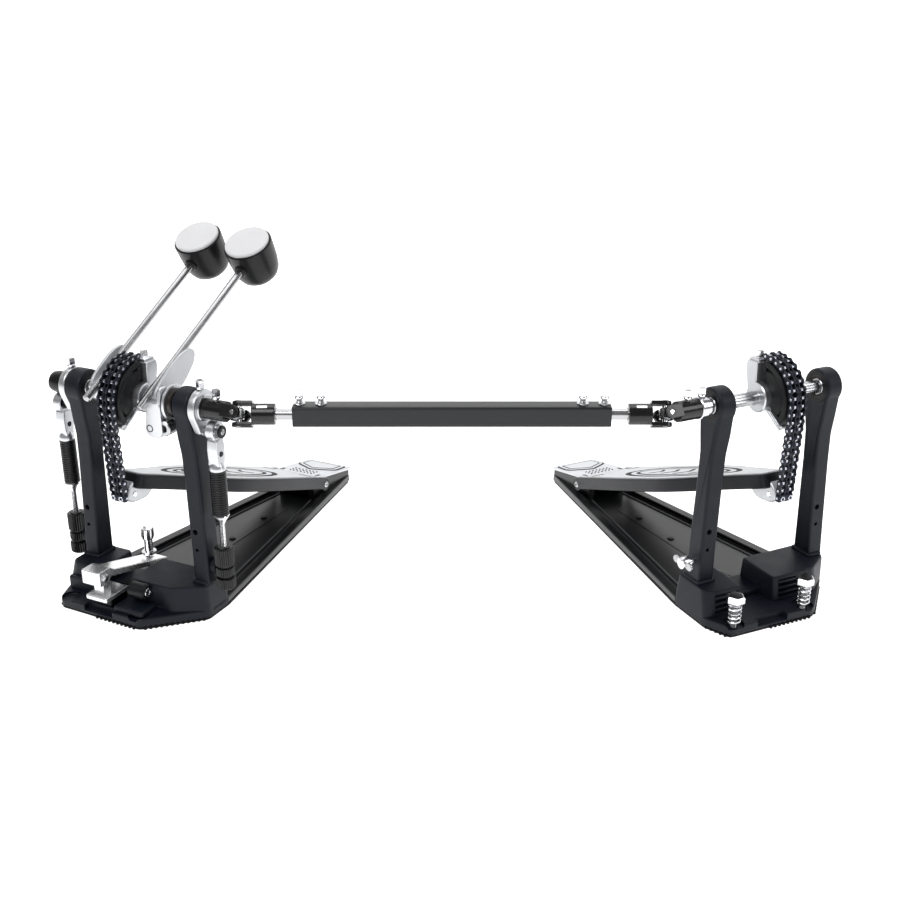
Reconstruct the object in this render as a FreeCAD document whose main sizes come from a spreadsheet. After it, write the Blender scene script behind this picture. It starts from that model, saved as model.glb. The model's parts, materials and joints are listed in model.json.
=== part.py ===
import FreeCAD, Part
import math
import os
import re
import Sketcher

# Double bass drum pedal: a main pedal with two beaters and a hoop clamp, a slave pedal
# with spurs, and a telescopic drive shaft between them. Millimetres, +Z up, +X along the
# drive shaft from the main pedal to the slave pedal, +Y from the drum towards the heels.
#
# Each pedal is drawn in its own pedal frame: origin on the floor below the middle of the
# cam shaft, +x along the cam shaft, +y towards the heel. "hand" is +1 on the main pedal,
# whose inner side is +x, and -1 on the slave pedal, whose inner side is -x.

SIZES = {
    # layout
    "pedal_reach": 247, "pedal_yaw": 26, "shift_x": 6.2, "shift_y": -97.6,
    "shaft_height": 177, "board_slope": 20.8, "beater_lean": 61.7, "half_travel": 30,
    # base
    "mat_thick": 2, "plate_thick": 2.5, "rail_height": 4, "rail_width": 3.5,
    "heel_half": 23, "heel_y": 281, "plate_flare": 0.157, "plate_front": 16,
    "heel_low": 13.5, "heel_slope": 0.2, "heel_front": 238, "heel_skin": 2.5,
    "deck_height": 30, "lip_height": 9, "channel_floor": 14,
    # posts and bearings
    "post_centre": 52, "post_shift": 2, "post_width": 14, "post_depth": 10, "head_radius": 14.5,
    "neck_drop": 34, "bearing_outer": 9.5, "journal_radius": 5, "running_gap": 0.05,
    # cam shaft
    "shaft_flats": 9.4, "key_radius": 2.4, "key_head": 5.5, "spigot_radius": 2.5,
    "cam_radius": 31, "cam_width": 18, "chain_width": 15, "chain_height": 6, "chain_foot": 99,
    # beaters
    "rod_offset": 9.5, "rod_radius": 3.2, "outer_rod_x": -28.5, "inner_rod_x": 22.5,
    "rod_tail": 20, "rod_reach": 158, "head_along": 160, "head_length": 34,
    "face_radius": 19.6, "face_offset": 19.5, "face_thick": 4.5,
    # footboard
    "pin_y": 222, "pin_z": 21, "pin_radius": 3, "board_top": 6.5, "board_skin": 3,
    "board_drop": 5, "skirt_wall": 2.5, "toe_reach": 258,
    # springs
    "spring_x": 75, "crank_reach": 17, "spring_radius": 6.8, "spring_low": 90,
    "spring_high": 128, "anchor_z": 44, "anchor_pin": 3, "swivel_eye": 5.2,
    # drive shaft
    "joint_reach": 98.5, "tube_half": 118, "tube_side": 16,
    "drive_rod_radius": 3.3, "yoke_radius": 8, "yoke_reach": 10, "ear_gap": 13, "ear_thick": 3.2,
    "cross_pin_radius": 2.2, "cross_clearance": 0.9, "tube_end": 131,
    # hoop clamp and spurs
    "clamp_x": -15, "clamp_width": 18, "clamp_bolt_y": 16, "clamp_bolt_radius": 2.5,
    "spur_y": -42, "spur_left_x": -50, "spur_right_x": 19,
}

doc = FreeCAD.newDocument("double_bass_drum_pedal")
sheet = doc.addObject("Spreadsheet::Sheet", "Sizes")
for row, (alias, number) in enumerate(SIZES.items(), start=1):
    sheet.set("A%d" % row, alias)
    sheet.set("B%d" % row, str(number))
    sheet.setAlias("B%d" % row, alias)
doc.recompute()

ALIAS = re.compile(r"\b(" + "|".join(sorted(SIZES, key=len, reverse=True)) + r")\b")
TURN = {
    "x": FreeCAD.Rotation(FreeCAD.Vector(0, 1, 0), 90),
    "y": FreeCAD.Rotation(FreeCAD.Vector(1, 0, 0), -90),
    "z": FreeCAD.Rotation(),
}
AXES = {"x": "1; 0; 0", "y": "0; 1; 0", "z": "0; 0; 1"}
subparts = []


# ---- expressions ---------------------------------------------------------------------

def cells(expression):
    """Write the sheet's aliases in an expression as references to the sheet."""
    return ALIAS.sub(r"Sizes.\1", str(expression))


def frame(x, y, z, axis="z", angle="0"):
    """Expression of a placement at a point, turned about one axis."""
    return ("create(<<placement>>; create(<<vector>>; {}; {}; {}); "
            "create(<<rotation>>; create(<<vector>>; {}); {}))").format(x, y, z, AXES[axis], angle)


PEDAL = {
    1: frame("shift_x - pedal_reach", "shift_y", "0", "z", "-pedal_yaw"),
    -1: frame("shift_x + pedal_reach", "shift_y", "0", "z", "pedal_yaw"),
}
SHAFT = {hand: PEDAL[hand] + " * " + frame(0, 0, "shaft_height") for hand in PEDAL}
BOARD = {hand: PEDAL[hand] + " * " + frame(0, "pin_y", "pin_z", "x", "-board_slope") for hand in PEDAL}
DRIVE = frame("shift_x", "shift_y - joint_reach * sin(pedal_yaw)", "shaft_height")
JOINT_X = "(pedal_reach - joint_reach * cos(pedal_yaw))"


def beater_frame(rod_x):
    """Frame of a beater: +z up along its rod from the cam shaft, -y towards the drum."""
    return PEDAL[1] + " * " + frame(rod_x, 0, "shaft_height", "x", "-beater_lean")


# ---- pieces made of primitives -------------------------------------------------------

def place_base(item, at):
    for letter, expression in zip("xyz", at):
        item.setExpression("Placement.Base." + letter, cells(expression))


def cylinder(name, radius, length, at, axis="z"):
    item = doc.addObject("Part::Cylinder", name)
    item.setExpression("Radius", cells(radius))
    item.setExpression("Height", cells(length))
    item.Placement.Rotation = TURN[axis]
    place_base(item, at)
    return item


def prism(name, sides, flats, length, at, axis="x"):
    """Regular prism with its distance across flats."""
    item = doc.addObject("Part::Prism", name)
    item.Polygon = sides
    item.setExpression("Circumradius", cells("(%s) / 2 / cos(180 / %d)" % (flats, sides)))
    item.setExpression("Height", cells(length))
    item.Placement.Rotation = TURN[axis]
    place_base(item, at)
    return item


def block(name, low, high):
    """Box between two opposite corners."""
    item = doc.addObject("Part::Box", name)
    for side, a, b in zip(("Length", "Width", "Height"), low, high):
        item.setExpression(side, cells("(%s) - (%s)" % (b, a)))
    place_base(item, low)
    return item


def cut(name, base, tools):
    tool = tools[0]
    if len(tools) > 1:
        tool = doc.addObject("Part::MultiFuse", name + "_tools")
        tool.Shapes = tools
    item = doc.addObject("Part::Cut", name)
    item.Base = base
    item.Tool = tool
    return item


def fuse(name, shapes):
    item = doc.addObject("Part::MultiFuse", name)
    item.Shapes = shapes
    return item


def group(name, shapes):
    item = doc.addObject("Part::Compound", name)
    item.Links = shapes
    return item


def finish(item, label, placement):
    """Make an object a sub-part: its label names its node, its placement sets its frame."""
    item.Label = label
    item.setExpression("Placement", cells(placement))
    subparts.append(item)
    return item


# ---- pieces made of sketches ---------------------------------------------------------

def draft_body(name):
    return doc.addObject("PartDesign::Body", name)


def new_body(label, placement):
    return finish(draft_body(label), label, placement)


def new_sketch(body, plane, offset="0"):
    sketch = body.newObject("Sketcher::SketchObject", body.Name + "_sketch")
    support = [item for item in body.Origin.OriginFeatures if item.Role == plane + "_Plane"][0]
    sketch.AttachmentSupport = [(support, "")]
    sketch.MapMode = "FlatFace"
    sketch.setExpression("AttachmentOffset.Base.z", cells(offset))
    return sketch


def pin_point(sketch, geometry, point, x, y):
    for kind, expression in (("DistanceX", x), ("DistanceY", y)):
        index = sketch.addConstraint(Sketcher.Constraint(kind, -1, 1, geometry, point, 0.0))
        sketch.setExpression("Constraints[%d]" % index, cells(expression))


def polygon(sketch, corners):
    count = len(corners)
    first = sketch.GeometryCount
    ring = [FreeCAD.Vector(math.cos(2 * math.pi * i / count), math.sin(2 * math.pi * i / count), 0)
            for i in range(count)]
    for i in range(count):
        sketch.addGeometry(Part.LineSegment(ring[i], ring[(i + 1) % count]))
    for i in range(count):
        following = first + (i + 1) % count
        sketch.addConstraint(Sketcher.Constraint("Coincident", first + i, 2, following, 1))
    for i, (x, y) in enumerate(corners):
        pin_point(sketch, first + i, 1, x, y)


def circle(sketch, x, y, radius):
    index = sketch.addGeometry(Part.Circle(FreeCAD.Vector(), FreeCAD.Vector(0, 0, 1), 1.0))
    pin_point(sketch, index, 3, x, y)
    number = sketch.addConstraint(Sketcher.Constraint("Radius", index, 1.0))
    sketch.setExpression("Constraints[%d]" % number, cells(radius))


def rectangle(sketch, x1, y1, x2, y2):
    polygon(sketch, [(x1, y1), (x2, y1), (x2, y2), (x1, y2)])


def add_feature(body, kind, sketch, length, symmetric):
    feature = body.newObject("PartDesign::" + kind, body.Name + "_" + kind.lower())
    feature.Profile = sketch
    feature.setExpression("Length", cells(length))
    if symmetric:
        feature.SideType = "Symmetric"
    return feature


def pad(body, sketch, length, symmetric=False):
    return add_feature(body, "Pad", sketch, length, symmetric)


def pocket(body, sketch, length, symmetric=True):
    return add_feature(body, "Pocket", sketch, length, symmetric)


def loft(body, sketches):
    feature = body.newObject("PartDesign::AdditiveLoft", body.Name + "_loft")
    feature.Profile = sketches[0]
    feature.Sections = sketches[1:]
    feature.Ruled = True
    return feature


def soften(body, size, wanted):
    """Chamfer the edges of the body for which wanted(edge) is true."""
    doc.recompute()
    tip = body.Tip
    edges = ["Edge%d" % (i + 1) for i, edge in enumerate(tip.Shape.Edges) if wanted(edge)]
    feature = body.newObject("PartDesign::Chamfer", body.Name + "_chamfer")
    feature.Base = (tip, edges)
    feature.setExpression("Size", cells(size))
    return feature


def runs_along(axis, shortest):
    """Test for straight edges along one axis of at least a length."""
    def wanted(edge):
        if not isinstance(edge.Curve, Part.Line) or edge.Length < shortest:
            return False
        return abs(getattr(edge.tangentAt(edge.FirstParameter), axis)) > 0.99
    return wanted


# ---- base ----------------------------------------------------------------------------

def plate_half(y):
    return "(heel_half + plate_flare * (heel_y - (%s)))" % y


def casting_outline(inset="0"):
    """Both castings are the same part, so their outline isn't mirrored by the hand."""
    return [("-57 + (%s)" % inset, "-48 + (%s)" % inset), ("25 - (%s)" % inset, "-50 + (%s)" % inset),
            ("65 - (%s)" % inset, "-12"), ("65 - (%s)" % inset, "plate_front"),
            ("-65 + (%s)" % inset, "plate_front"), ("-66 + (%s)" % inset, "-26")]


def rubber_mat(name, hand):
    body = new_body(name + "_rubber_mat", PEDAL[hand])
    sketch = new_sketch(body, "XY")
    polygon(sketch, casting_outline("0.8")[:4] + [("heel_half - 0.8", "heel_y - 0.8"),
                                                 ("-heel_half + 0.8", "heel_y - 0.8")]
            + casting_outline("0.8")[4:])
    for spur_x in ("spur_left_x", "spur_right_x"):
        circle(sketch, spur_x, "spur_y", "3.5")
    pad(body, sketch, "mat_thick")


def base_plate(name, hand):
    body = new_body(name + "_base_plate", PEDAL[hand])
    sketch = new_sketch(body, "XY", "mat_thick")
    front = plate_half("plate_front")
    polygon(sketch, [("-heel_half", "heel_y"), ("-" + front, "plate_front"), (front, "plate_front"),
                     ("heel_half", "heel_y")])
    pad(body, sketch, "plate_thick")
    for side in (-1, 1):
        rail = new_sketch(body, "XY", "mat_thick + plate_thick / 2")
        polygon(rail, [("%d * %s" % (side, front), "plate_front"),
                       ("%d * heel_half" % side, "heel_y"),
                       ("%d * (heel_half - rail_width)" % side, "heel_y"),
                       ("%d * (%s - rail_width)" % (side, front), "plate_front")])
        pad(body, rail, "rail_height + plate_thick / 2")
        groove = new_sketch(body, "XY", "mat_thick + plate_thick")
        polygon(groove, [("%d * (%s - 11)" % (side, front), "plate_front + 8"),
                         ("%d * (heel_half - 11 + plate_flare * 60)" % side, "heel_front - 18"),
                         ("%d * (heel_half - 14 + plate_flare * 60)" % side, "heel_front - 18"),
                         ("%d * (%s - 14)" % (side, front), "plate_front + 8")])
        pocket(body, groove, "plate_thick")
    heel_block(body)


def heel_top(y):
    return "(heel_low + heel_slope * (heel_y - (%s)))" % y


def heel_block(body):
    """Solid heel of the base plate, with the two ears of the footboard hinge."""
    floor = "mat_thick + plate_thick / 2"
    side = new_sketch(body, "YZ")
    polygon(side, [("heel_front", floor), ("heel_y - 1", floor), ("heel_y - 1", heel_top("heel_y - 1")),
                   ("heel_front", heel_top("heel_front"))])
    pad(body, side, "2 * (heel_half - 0.5)", True)
    for ear_side in (-1, 1):
        ear = new_sketch(body, "YZ", "%d * 17" % ear_side)
        polygon(ear, [("pin_y - 5", floor), ("heel_front + 2", floor), ("heel_front + 2", "pin_z"),
                      ("pin_y + 3", "pin_z + 3.4"), ("pin_y - 3", "pin_z + 4.4"), ("pin_y - 5", "pin_z + 2")])
        pad(body, ear, "6", True)
    bore = new_sketch(body, "YZ")
    circle(bore, "pin_y", "pin_z", "pin_radius")
    pocket(body, bore, "4 * heel_half")


def front_casting(name, hand):
    body = new_body(name + "_front_casting", PEDAL[hand])
    low = new_sketch(body, "XY", "mat_thick")
    polygon(low, casting_outline())
    pad(body, low, "lip_height - mat_thick")
    lower = new_sketch(body, "XY", "lip_height")
    polygon(lower, casting_outline())
    upper = new_sketch(body, "XY", "deck_height")
    polygon(upper, [("-50", "-26"), ("16", "-27"), ("60", "-14"), ("60", "plate_front - 1"),
                    ("-60", "plate_front - 1"), ("-61", "-17")])
    loft(body, [lower, upper])
    jaw = new_sketch(body, "XY", "channel_floor + 20")
    rectangle(jaw, "clamp_x - 15", "-60", "clamp_x + 15", "-12")
    pocket(body, jaw, "40")
    channel = new_sketch(body, "XY", "channel_floor + 20")
    rectangle(channel, "clamp_x - clamp_width / 2 - 2", "-13",
              "clamp_x + clamp_width / 2 + 2", "plate_front + 4")
    pocket(body, channel, "40")
    mouth = new_sketch(body, "XY", "lip_height + 12")
    rectangle(mouth, "clamp_x - 15", "-60", "clamp_x + 15", "-43")
    pocket(body, mouth, "24")
    for rib_y in ("-24", "-17"):
        for first, last in (("-56", "clamp_x - 19"), ("clamp_x + 19", "40")):
            rib = new_sketch(body, "XY", "deck_height")
            rectangle(rib, first, rib_y + " - 1", last, rib_y + " + 1")
            pocket(body, rib, "3")
    wells = new_sketch(body, "XY", "deck_height")
    for spur_x in ("spur_left_x", "spur_right_x"):
        circle(wells, spur_x, "spur_y", "9")
    pocket(body, wells, "2 * (deck_height - channel_floor)")
    holes = new_sketch(body, "XY", "deck_height")
    for spur_x in ("spur_left_x", "spur_right_x"):
        circle(holes, spur_x, "spur_y", "3.2")
    circle(holes, "clamp_x", "clamp_bolt_y", "clamp_bolt_radius + 0.3")
    pocket(body, holes, "80")


def posts(name, hand):
    """Two upright posts, each with a teardrop head that holds a bearing."""
    uprights = []
    for word, side in (("outer", -1), ("inner", 1)):
        body = draft_body(name + "_" + word + "_post")
        centre = "%d * post_centre + post_shift" % (side * hand)
        column = new_sketch(body, "YZ", centre)
        polygon(column, [("-post_depth / 2 - 1.5", "deck_height"),
                         ("post_depth / 2 + 1.5", "deck_height"),
                         ("post_depth / 2", "shaft_height - neck_drop"),
                         ("head_radius * 0.9", "shaft_height - 6"),
                         ("-head_radius * 0.9", "shaft_height - 6"),
                         ("-post_depth / 2", "shaft_height - neck_drop")])
        pad(body, column, "post_width", True)
        head = new_sketch(body, "YZ", centre)
        circle(head, "0", "shaft_height", "head_radius")
        pad(body, head, "post_width", True)
        bore = new_sketch(body, "YZ", centre)
        circle(bore, "0", "shaft_height", "bearing_outer")
        pocket(body, bore, "post_width + 2")
        small = new_sketch(body, "YZ", centre)
        circle(small, "0", "deck_height + 42", "2.2")
        pocket(body, small, "post_width + 2")
        if hand > 0:
            stub = new_sketch(body, "YZ", "%d * (post_centre + post_width / 2 + 6) + post_shift" % side)
            circle(stub, "0", "anchor_z", "anchor_pin")
            pad(body, stub, "14", True)
        uprights.append(body)
    finish(group(name + "_post_pair", uprights), name + "_posts", PEDAL[hand])


def bearings(name, hand):
    rings = []
    for side in (-1, 1):
        start = "%d * post_centre + post_shift - post_width / 2" % side
        ring = cylinder(name + "_ring", "bearing_outer", "post_width", (start, 0, 0), "x")
        bore = cylinder(name + "_ring_bore", "journal_radius + running_gap", "post_width", (start, 0, 0), "x")
        rings.append(cut(name + "_bearing_ring", ring, [bore]))
    finish(group(name + "_bearing_pair", rings), name + "_bearings", SHAFT[hand])


def heel_plate(name, hand):
    """Bright plate over the heel and the hinge, with a raised frame and two slots."""
    body = new_body(name + "_heel_plate", PEDAL[hand])
    front = "pin_y - 5"
    side = new_sketch(body, "YZ")
    polygon(side, [("heel_y", heel_top("heel_y")), ("heel_y", heel_top("heel_y") + " + heel_skin"),
                   (front, heel_top(front) + " + heel_skin"), (front, heel_top(front))])
    pad(body, side, "2 * heel_half + 3", True)
    slots = new_sketch(body, "XY", "pin_z")
    for slot_side in (-1, 1):
        rectangle(slots, "%d * 20 - 2" % slot_side, "pin_y - 3", "%d * 20 + 2" % slot_side, "pin_y + 9")
    pocket(body, slots, "40")
    frame_z = "heel_skin + 0.9"
    ridge = new_sketch(body, "YZ")
    polygon(ridge, [("heel_y - 4", heel_top("heel_y - 4") + " + 1"),
                    ("heel_y - 4", heel_top("heel_y - 4") + " + " + frame_z),
                    ("heel_y - 38", heel_top("heel_y - 38") + " + " + frame_z),
                    ("heel_y - 38", heel_top("heel_y - 38") + " + 1")])
    pad(body, ridge, "2 * heel_half - 8", True)
    panel = new_sketch(body, "YZ")
    polygon(panel, [("heel_y - 7", heel_top("heel_y - 7") + " + heel_skin"),
                    ("heel_y - 7", heel_top("heel_y - 7") + " + heel_skin + 5"),
                    ("heel_y - 35", heel_top("heel_y - 35") + " + heel_skin + 5"),
                    ("heel_y - 35", heel_top("heel_y - 35") + " + heel_skin")])
    pocket(body, panel, "2 * heel_half - 14")


def hinge_pin(name, hand):
    length = "2 * (heel_half + 9.5)"
    pin = cylinder(name + "_pin_bar", "pin_radius", length, ("-(heel_half + 9.5)", "pin_y", "pin_z"), "x")
    finish(group(name + "_pin_solid", [pin]), name + "_hinge_pin", PEDAL[hand])


# ---- footboard -----------------------------------------------------------------------

# Distance forward of the hinge and half width of the footboard.
BOARD_EDGE = [("-7", "heel_half + 8"), ("25", "32.5"), ("90", "36"), ("150", "36"), ("178", "31"),
              ("210", "22"), ("238", "15"), ("toe_reach", "13")]


def board_outline(inset, heel_end, toe_end):
    right = [("%s - (%s)" % (half, inset), "-(%s)" % reach) for reach, half in BOARD_EDGE]
    right[0] = (right[0][0], heel_end)
    right[-1] = (right[-1][0], toe_end)
    left = [("-(%s)" % x, y) for x, y in reversed(right)]
    return right + left


def footboard(name, hand):
    body = new_body(name + "_footboard", BOARD[hand])
    full = new_sketch(body, "XY", "-board_drop")
    polygon(full, board_outline("0", "7", "-toe_reach"))
    pad(body, full, "board_top + board_drop")
    hollow = new_sketch(body, "XY", "-board_drop")
    polygon(hollow, board_outline("skirt_wall", "12", "-toe_reach + 3"))
    pocket(body, hollow, "2 * (board_top + board_drop - board_skin)")
    bore = new_sketch(body, "YZ")
    circle(bore, "0", "0", "pin_radius + running_gap")
    pocket(body, bore, "120")
    clear = new_sketch(body, "XY", "0")
    rectangle(clear, "-heel_half - 4", "-12", "heel_half + 4", "12")
    pocket(body, clear, "40")
    slots = new_sketch(body, "XY", "board_top")
    for side in (-1, 1):
        rectangle(slots, "%d * 26" % side, "-22", "%d * 15" % side, "-25")
    pocket(body, slots, "10")
    notch = new_sketch(body, "YZ")
    rectangle(notch, "-toe_reach - 1", "-board_drop - 1", "-toe_reach + 4", "board_top - board_skin")
    pocket(body, notch, "chain_width + 0.2")
    tab = new_sketch(body, "XY", "board_top - 9")
    rectangle(tab, "%d * 12" % -hand, "-toe_reach + 1", "%d * 19" % -hand, "-toe_reach + 9")
    pad(body, tab, "9")


def chain_connector(name, hand):
    """Bright block under the toe that the chain is riveted to."""
    body = new_body(name + "_chain_connector", BOARD[hand])
    side = new_sketch(body, "YZ")
    polygon(side, [("-toe_reach + 30", "board_top - board_skin"),
                   ("-toe_reach + 3.5", "board_top - board_skin"),
                   ("-toe_reach - 3.5", "-board_drop - 1"), ("-toe_reach - 3.5", "-board_drop - 12"),
                   ("-toe_reach + 20", "-board_drop - 8")])
    pad(body, side, "chain_width", True)


# ---- cam shaft -----------------------------------------------------------------------

def polar(radius, angle):
    """Point at an angle in the pedal's side view: 0 towards the heel, 90 up."""
    return ("(%s) * cos(%s)" % (radius, angle), "(%s) * sin(%s)" % (radius, angle))


def arc_band(inner, outer, first, last, steps):
    """Closed outline of a ring sector, its arcs as short chords."""
    angles = [first + (last - first) * i / steps for i in range(steps + 1)]
    return [polar(outer, angle) for angle in angles] + [polar(inner, angle) for angle in reversed(angles)]


def cam(name, hand):
    """Sector cam: the chain lies on its rim, and its sides are recessed."""
    body = new_body(name + "_cam", SHAFT[hand])
    sector = new_sketch(body, "YZ")
    polygon(sector, arc_band("12", "cam_radius", 88, 214, 14))
    pad(body, sector, "cam_width", True)
    for side in (-1, 1):
        recess = new_sketch(body, "YZ", "%d * cam_width / 2" % side)
        polygon(recess, arc_band("15", "cam_radius - 6", 96, 206, 10))
        pocket(body, recess, "8")


def cam_carrier(name, hand):
    """Bright carrier that clamps on the shaft and holds the cam and the chain's end."""
    body = new_body(name + "_cam_carrier", SHAFT[hand])
    hub = new_sketch(body, "YZ", "%d * 2" % hand)
    circle(hub, "0", "0", "11.8")
    circle(hub, "0", "0", "journal_radius")
    pad(body, hub, "cam_width + 6", True)
    arm = new_sketch(body, "YZ", "%d * 2" % hand)
    polygon(arm, [("1.8", "10"), ("10", "5"), ("15", "cam_radius - 6"), ("12", "cam_radius - 3"),
                  ("2.5", "cam_radius - 3")])
    pad(body, arm, "cam_width", True)
    toe = new_sketch(body, "YZ")
    polygon(toe, [polar("11", 216), polar("cam_radius - 2", 216), polar("cam_radius - 2", 225),
                  polar("11", 240)])
    pad(body, toe, "cam_width - 4", True)
    key = new_sketch(body, "XY", "cam_radius - 3")
    circle(key, "%d * 6" % hand, "9", "2.4")
    pocket(body, key, "16")


def chain_wrap(name, hand):
    """Part of the double chain that lies on the cam."""
    body = new_body(name + "_chain_wrap", SHAFT[hand])
    band = new_sketch(body, "YZ")
    polygon(band, arc_band("cam_radius", "cam_radius + chain_height", 84, 176, 15))
    pad(body, band, "chain_width", True)
    waist = new_sketch(body, "YZ")
    polygon(waist, arc_band("cam_radius + chain_height - 1", "cam_radius + chain_height + 2", 80, 176, 15))
    pocket(body, waist, "1.6")


def chain_run(name, hand):
    """Hanging part of the double chain, with its two end rivets."""
    body = new_body(name + "_chain_run", PEDAL[hand])
    side = new_sketch(body, "YZ")
    rectangle(side, "-cam_radius - chain_height - 0.4", "chain_foot", "-cam_radius - 0.4", "shaft_height")
    pad(body, side, "chain_width", True)
    waist = new_sketch(body, "XY", "shaft_height")
    rectangle(waist, "-0.8", "-cam_radius - chain_height - 2", "0.8", "-cam_radius - chain_height + 0.6")
    pocket(body, waist, "2 * (shaft_height - chain_foot)")
    for side_x in ("-chain_width / 4", "chain_width / 4"):
        rivet = new_sketch(body, "XZ", "cam_radius + chain_height / 2")
        circle(rivet, side_x, "chain_foot + 5", "2")
        pad(body, rivet, "chain_height / 2 + 0.8")


def stepped_shaft(name, hand, pieces):
    """Shaft of hexagonal and round lengths: kind, size, start and end towards the inner side."""
    lengths = []
    for kind, size, start, end in pieces:
        low, high = (start, end) if hand > 0 else ("-(%s)" % end, "-(%s)" % start)
        span = "(%s) - (%s)" % (high, low)
        if kind == "hex":
            lengths.append(prism(name + "_hex", 6, size, span, (low, 0, 0)))
        else:
            lengths.append(cylinder(name + "_round", size, span, (low, 0, 0), "x"))
    return fuse(name + "_solid", lengths)


def key_bolt(name, x, y, seat, shown):
    """Square-headed key bolt standing on end: seat is its lower end, shown its bare stem."""
    stem = cylinder(name + "_stem", "key_radius", shown, (x, y, seat))
    head = prism(name + "_head", 4, "4.6", "key_head", (x, y, "(%s) + (%s)" % (seat, shown)), "z")
    return fuse(name + "_bolt", [stem, head])


# ---- beaters -------------------------------------------------------------------------

def beater(name, rod_x):
    """Rod, black head body and white face of one beater, in the beater's frame."""
    place = beater_frame(rod_x)
    bar = cylinder(name + "_bar", "rod_radius", "rod_reach + rod_tail", (0, "-rod_offset", "-rod_tail"))
    finish(group(name + "_bar_solid", [bar]), name + "_beater_rod", place)

    body = new_body(name + "_beater_body", place)
    front = "-rod_offset - face_offset + face_thick"
    profile = new_sketch(body, "XZ", "-(%s)" % front)
    circle(profile, "0", "head_along", "face_radius - 1")
    middle = new_sketch(body, "XZ", "-(%s + 14)" % front)
    circle(middle, "0", "head_along - 1", "face_radius - 2.5")
    rear = new_sketch(body, "XZ", "-(%s + head_length)" % front)
    circle(rear, "0", "head_along - 2", "12")
    loft(body, [profile, middle, rear])
    socket = new_sketch(body, "XY", "rod_reach / 2")
    circle(socket, "0", "-rod_offset", "rod_radius")
    pocket(body, socket, "rod_reach")

    face = new_body(name + "_beater_face", place)
    disc = new_sketch(face, "XZ", "-(%s)" % front)
    circle(disc, "0", "head_along", "face_radius")
    pad(face, disc, "face_thick")


def beater_holder(name, rod_x, plate_side, near, far, wing_at):
    """Block clamped on the shaft, with a cross hole for the rod and a leaf-shaped wing.

    near and far are the ends of the block either side of the rod's axis, and wing_at is
    the distance of the wing's middle from it.
    """
    body = new_body(name + "_beater_holder", beater_frame(rod_x))
    side = new_sketch(body, "YZ", "%d * (%s - (%s)) / 2" % (plate_side, far, near))
    polygon(side, [("-rod_offset - 6", "-10"), ("3", "-12"), ("10", "-6"), ("10", "6"), ("3", "12"),
                   ("-rod_offset - 6", "11")])
    pad(body, side, "%s + %s" % (near, far), True)
    wing = new_sketch(body, "YZ", "%d * %s" % (plate_side, wing_at))
    polygon(wing, [("-14", "-6"), ("-17", "8"), ("-18", "26"), ("-17", "40"), ("-12", "52"), ("-5", "54"),
                   ("2", "48"), ("7", "32"), ("9", "10"), ("3", "-11")])
    pad(body, wing, "3", True)
    bore = new_sketch(body, "YZ")
    circle(bore, "0", "0", "journal_radius")
    pocket(body, bore, "80")
    cross = new_sketch(body, "XY")
    circle(cross, "0", "-rod_offset", "rod_radius + running_gap")
    pocket(body, cross, "80")


# ---- return springs ------------------------------------------------------------------

def spring_crank(name, side):
    """Disc on the shaft's end whose pin pulls the spring."""
    body = new_body(name + "_spring_crank", SHAFT[1])
    inner_face = "post_centre + post_width / 2 + 0.6"
    disc = new_sketch(body, "YZ", "%d * (%s + 3) + post_shift" % (side, inner_face))
    circle(disc, "0", "0", "14.5")
    pad(body, disc, "6", True)
    lug = new_sketch(body, "YZ", "%d * (%s + 3) + post_shift" % (side, inner_face))
    polygon(lug, [("-14", "0"), ("-6", "-crank_reach - 5"), ("6", "-crank_reach - 5"), ("14", "0")])
    pad(body, lug, "6", True)
    pin = new_sketch(body, "YZ", "%d * (%s + 13) + post_shift" % (side, inner_face))
    circle(pin, "0", "-crank_reach", "2.2")
    pad(body, pin, "16", True)
    bore = new_sketch(body, "YZ")
    circle(bore, "0", "0", "journal_radius")
    pocket(body, bore, "200")
    key = new_sketch(body, "XY", "14")
    circle(key, "%d * (%s + 3) + post_shift" % (side, inner_face), "0", "key_radius")
    pocket(body, key, "12")


def spring_set(name, side):
    """Anchor rod with its nuts, spring and swivel of one return spring."""
    x = "%d * spring_x" % side
    nuts = [prism(name + "_nut", 8, "17", height, (x, 0, low), "z")
            for low, height in (("27", "9"), ("38", "7"), ("47", "15"))]
    core = cylinder(name + "_core", "5", "37", (x, 0, "26"))
    rod = cylinder(name + "_rod", "2.4", "spring_low + 4 - 60", (x, 0, "60"))
    hook = cylinder(name + "_hook", "5", "3", (x, 0, "spring_low - 3.2"))
    pivot = cylinder(name + "_pivot_bore", "anchor_pin + running_gap", "24",
                     ("%s - 12 - %d * 12" % (x, side), 0, "anchor_z"), "x")
    tension = fuse(name + "_tension_blank", nuts + [core, rod, hook])
    finish(cut(name + "_tension", tension, [pivot]), name + "_spring_rod", PEDAL[1])

    coil = cylinder(name + "_coil", "spring_radius", "spring_high - spring_low", (x, 0, "spring_low"))
    bore = cylinder(name + "_coil_bore", "spring_radius - 2", "spring_high - spring_low", (x, 0, "spring_low"))
    finish(cut(name + "_coil_tube", coil, [bore]), name + "_spring", PEDAL[1])

    eye_z = "shaft_height - crank_reach"
    eye = cylinder(name + "_eye", "swivel_eye + 2.4", "7", ("%s - 3.5" % x, 0, eye_z), "x")
    neck = block(name + "_neck", ("%s - 4" % x, "-4", "spring_high + 2"), ("%s + 4" % x, "4", "%s - 5" % eye_z))
    cup = cylinder(name + "_cup", "spring_radius", "6", (x, 0, "spring_high"))
    eye_bore = cylinder(name + "_eye_bore", "swivel_eye", "20", ("%s - 10" % x, 0, eye_z), "x")
    swivel = cut(name + "_swivel_solid", fuse(name + "_swivel_blank", [eye, neck, cup]), [eye_bore])
    finish(swivel, name + "_spring_swivel", PEDAL[1])


# ---- drive shaft ---------------------------------------------------------------------

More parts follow.
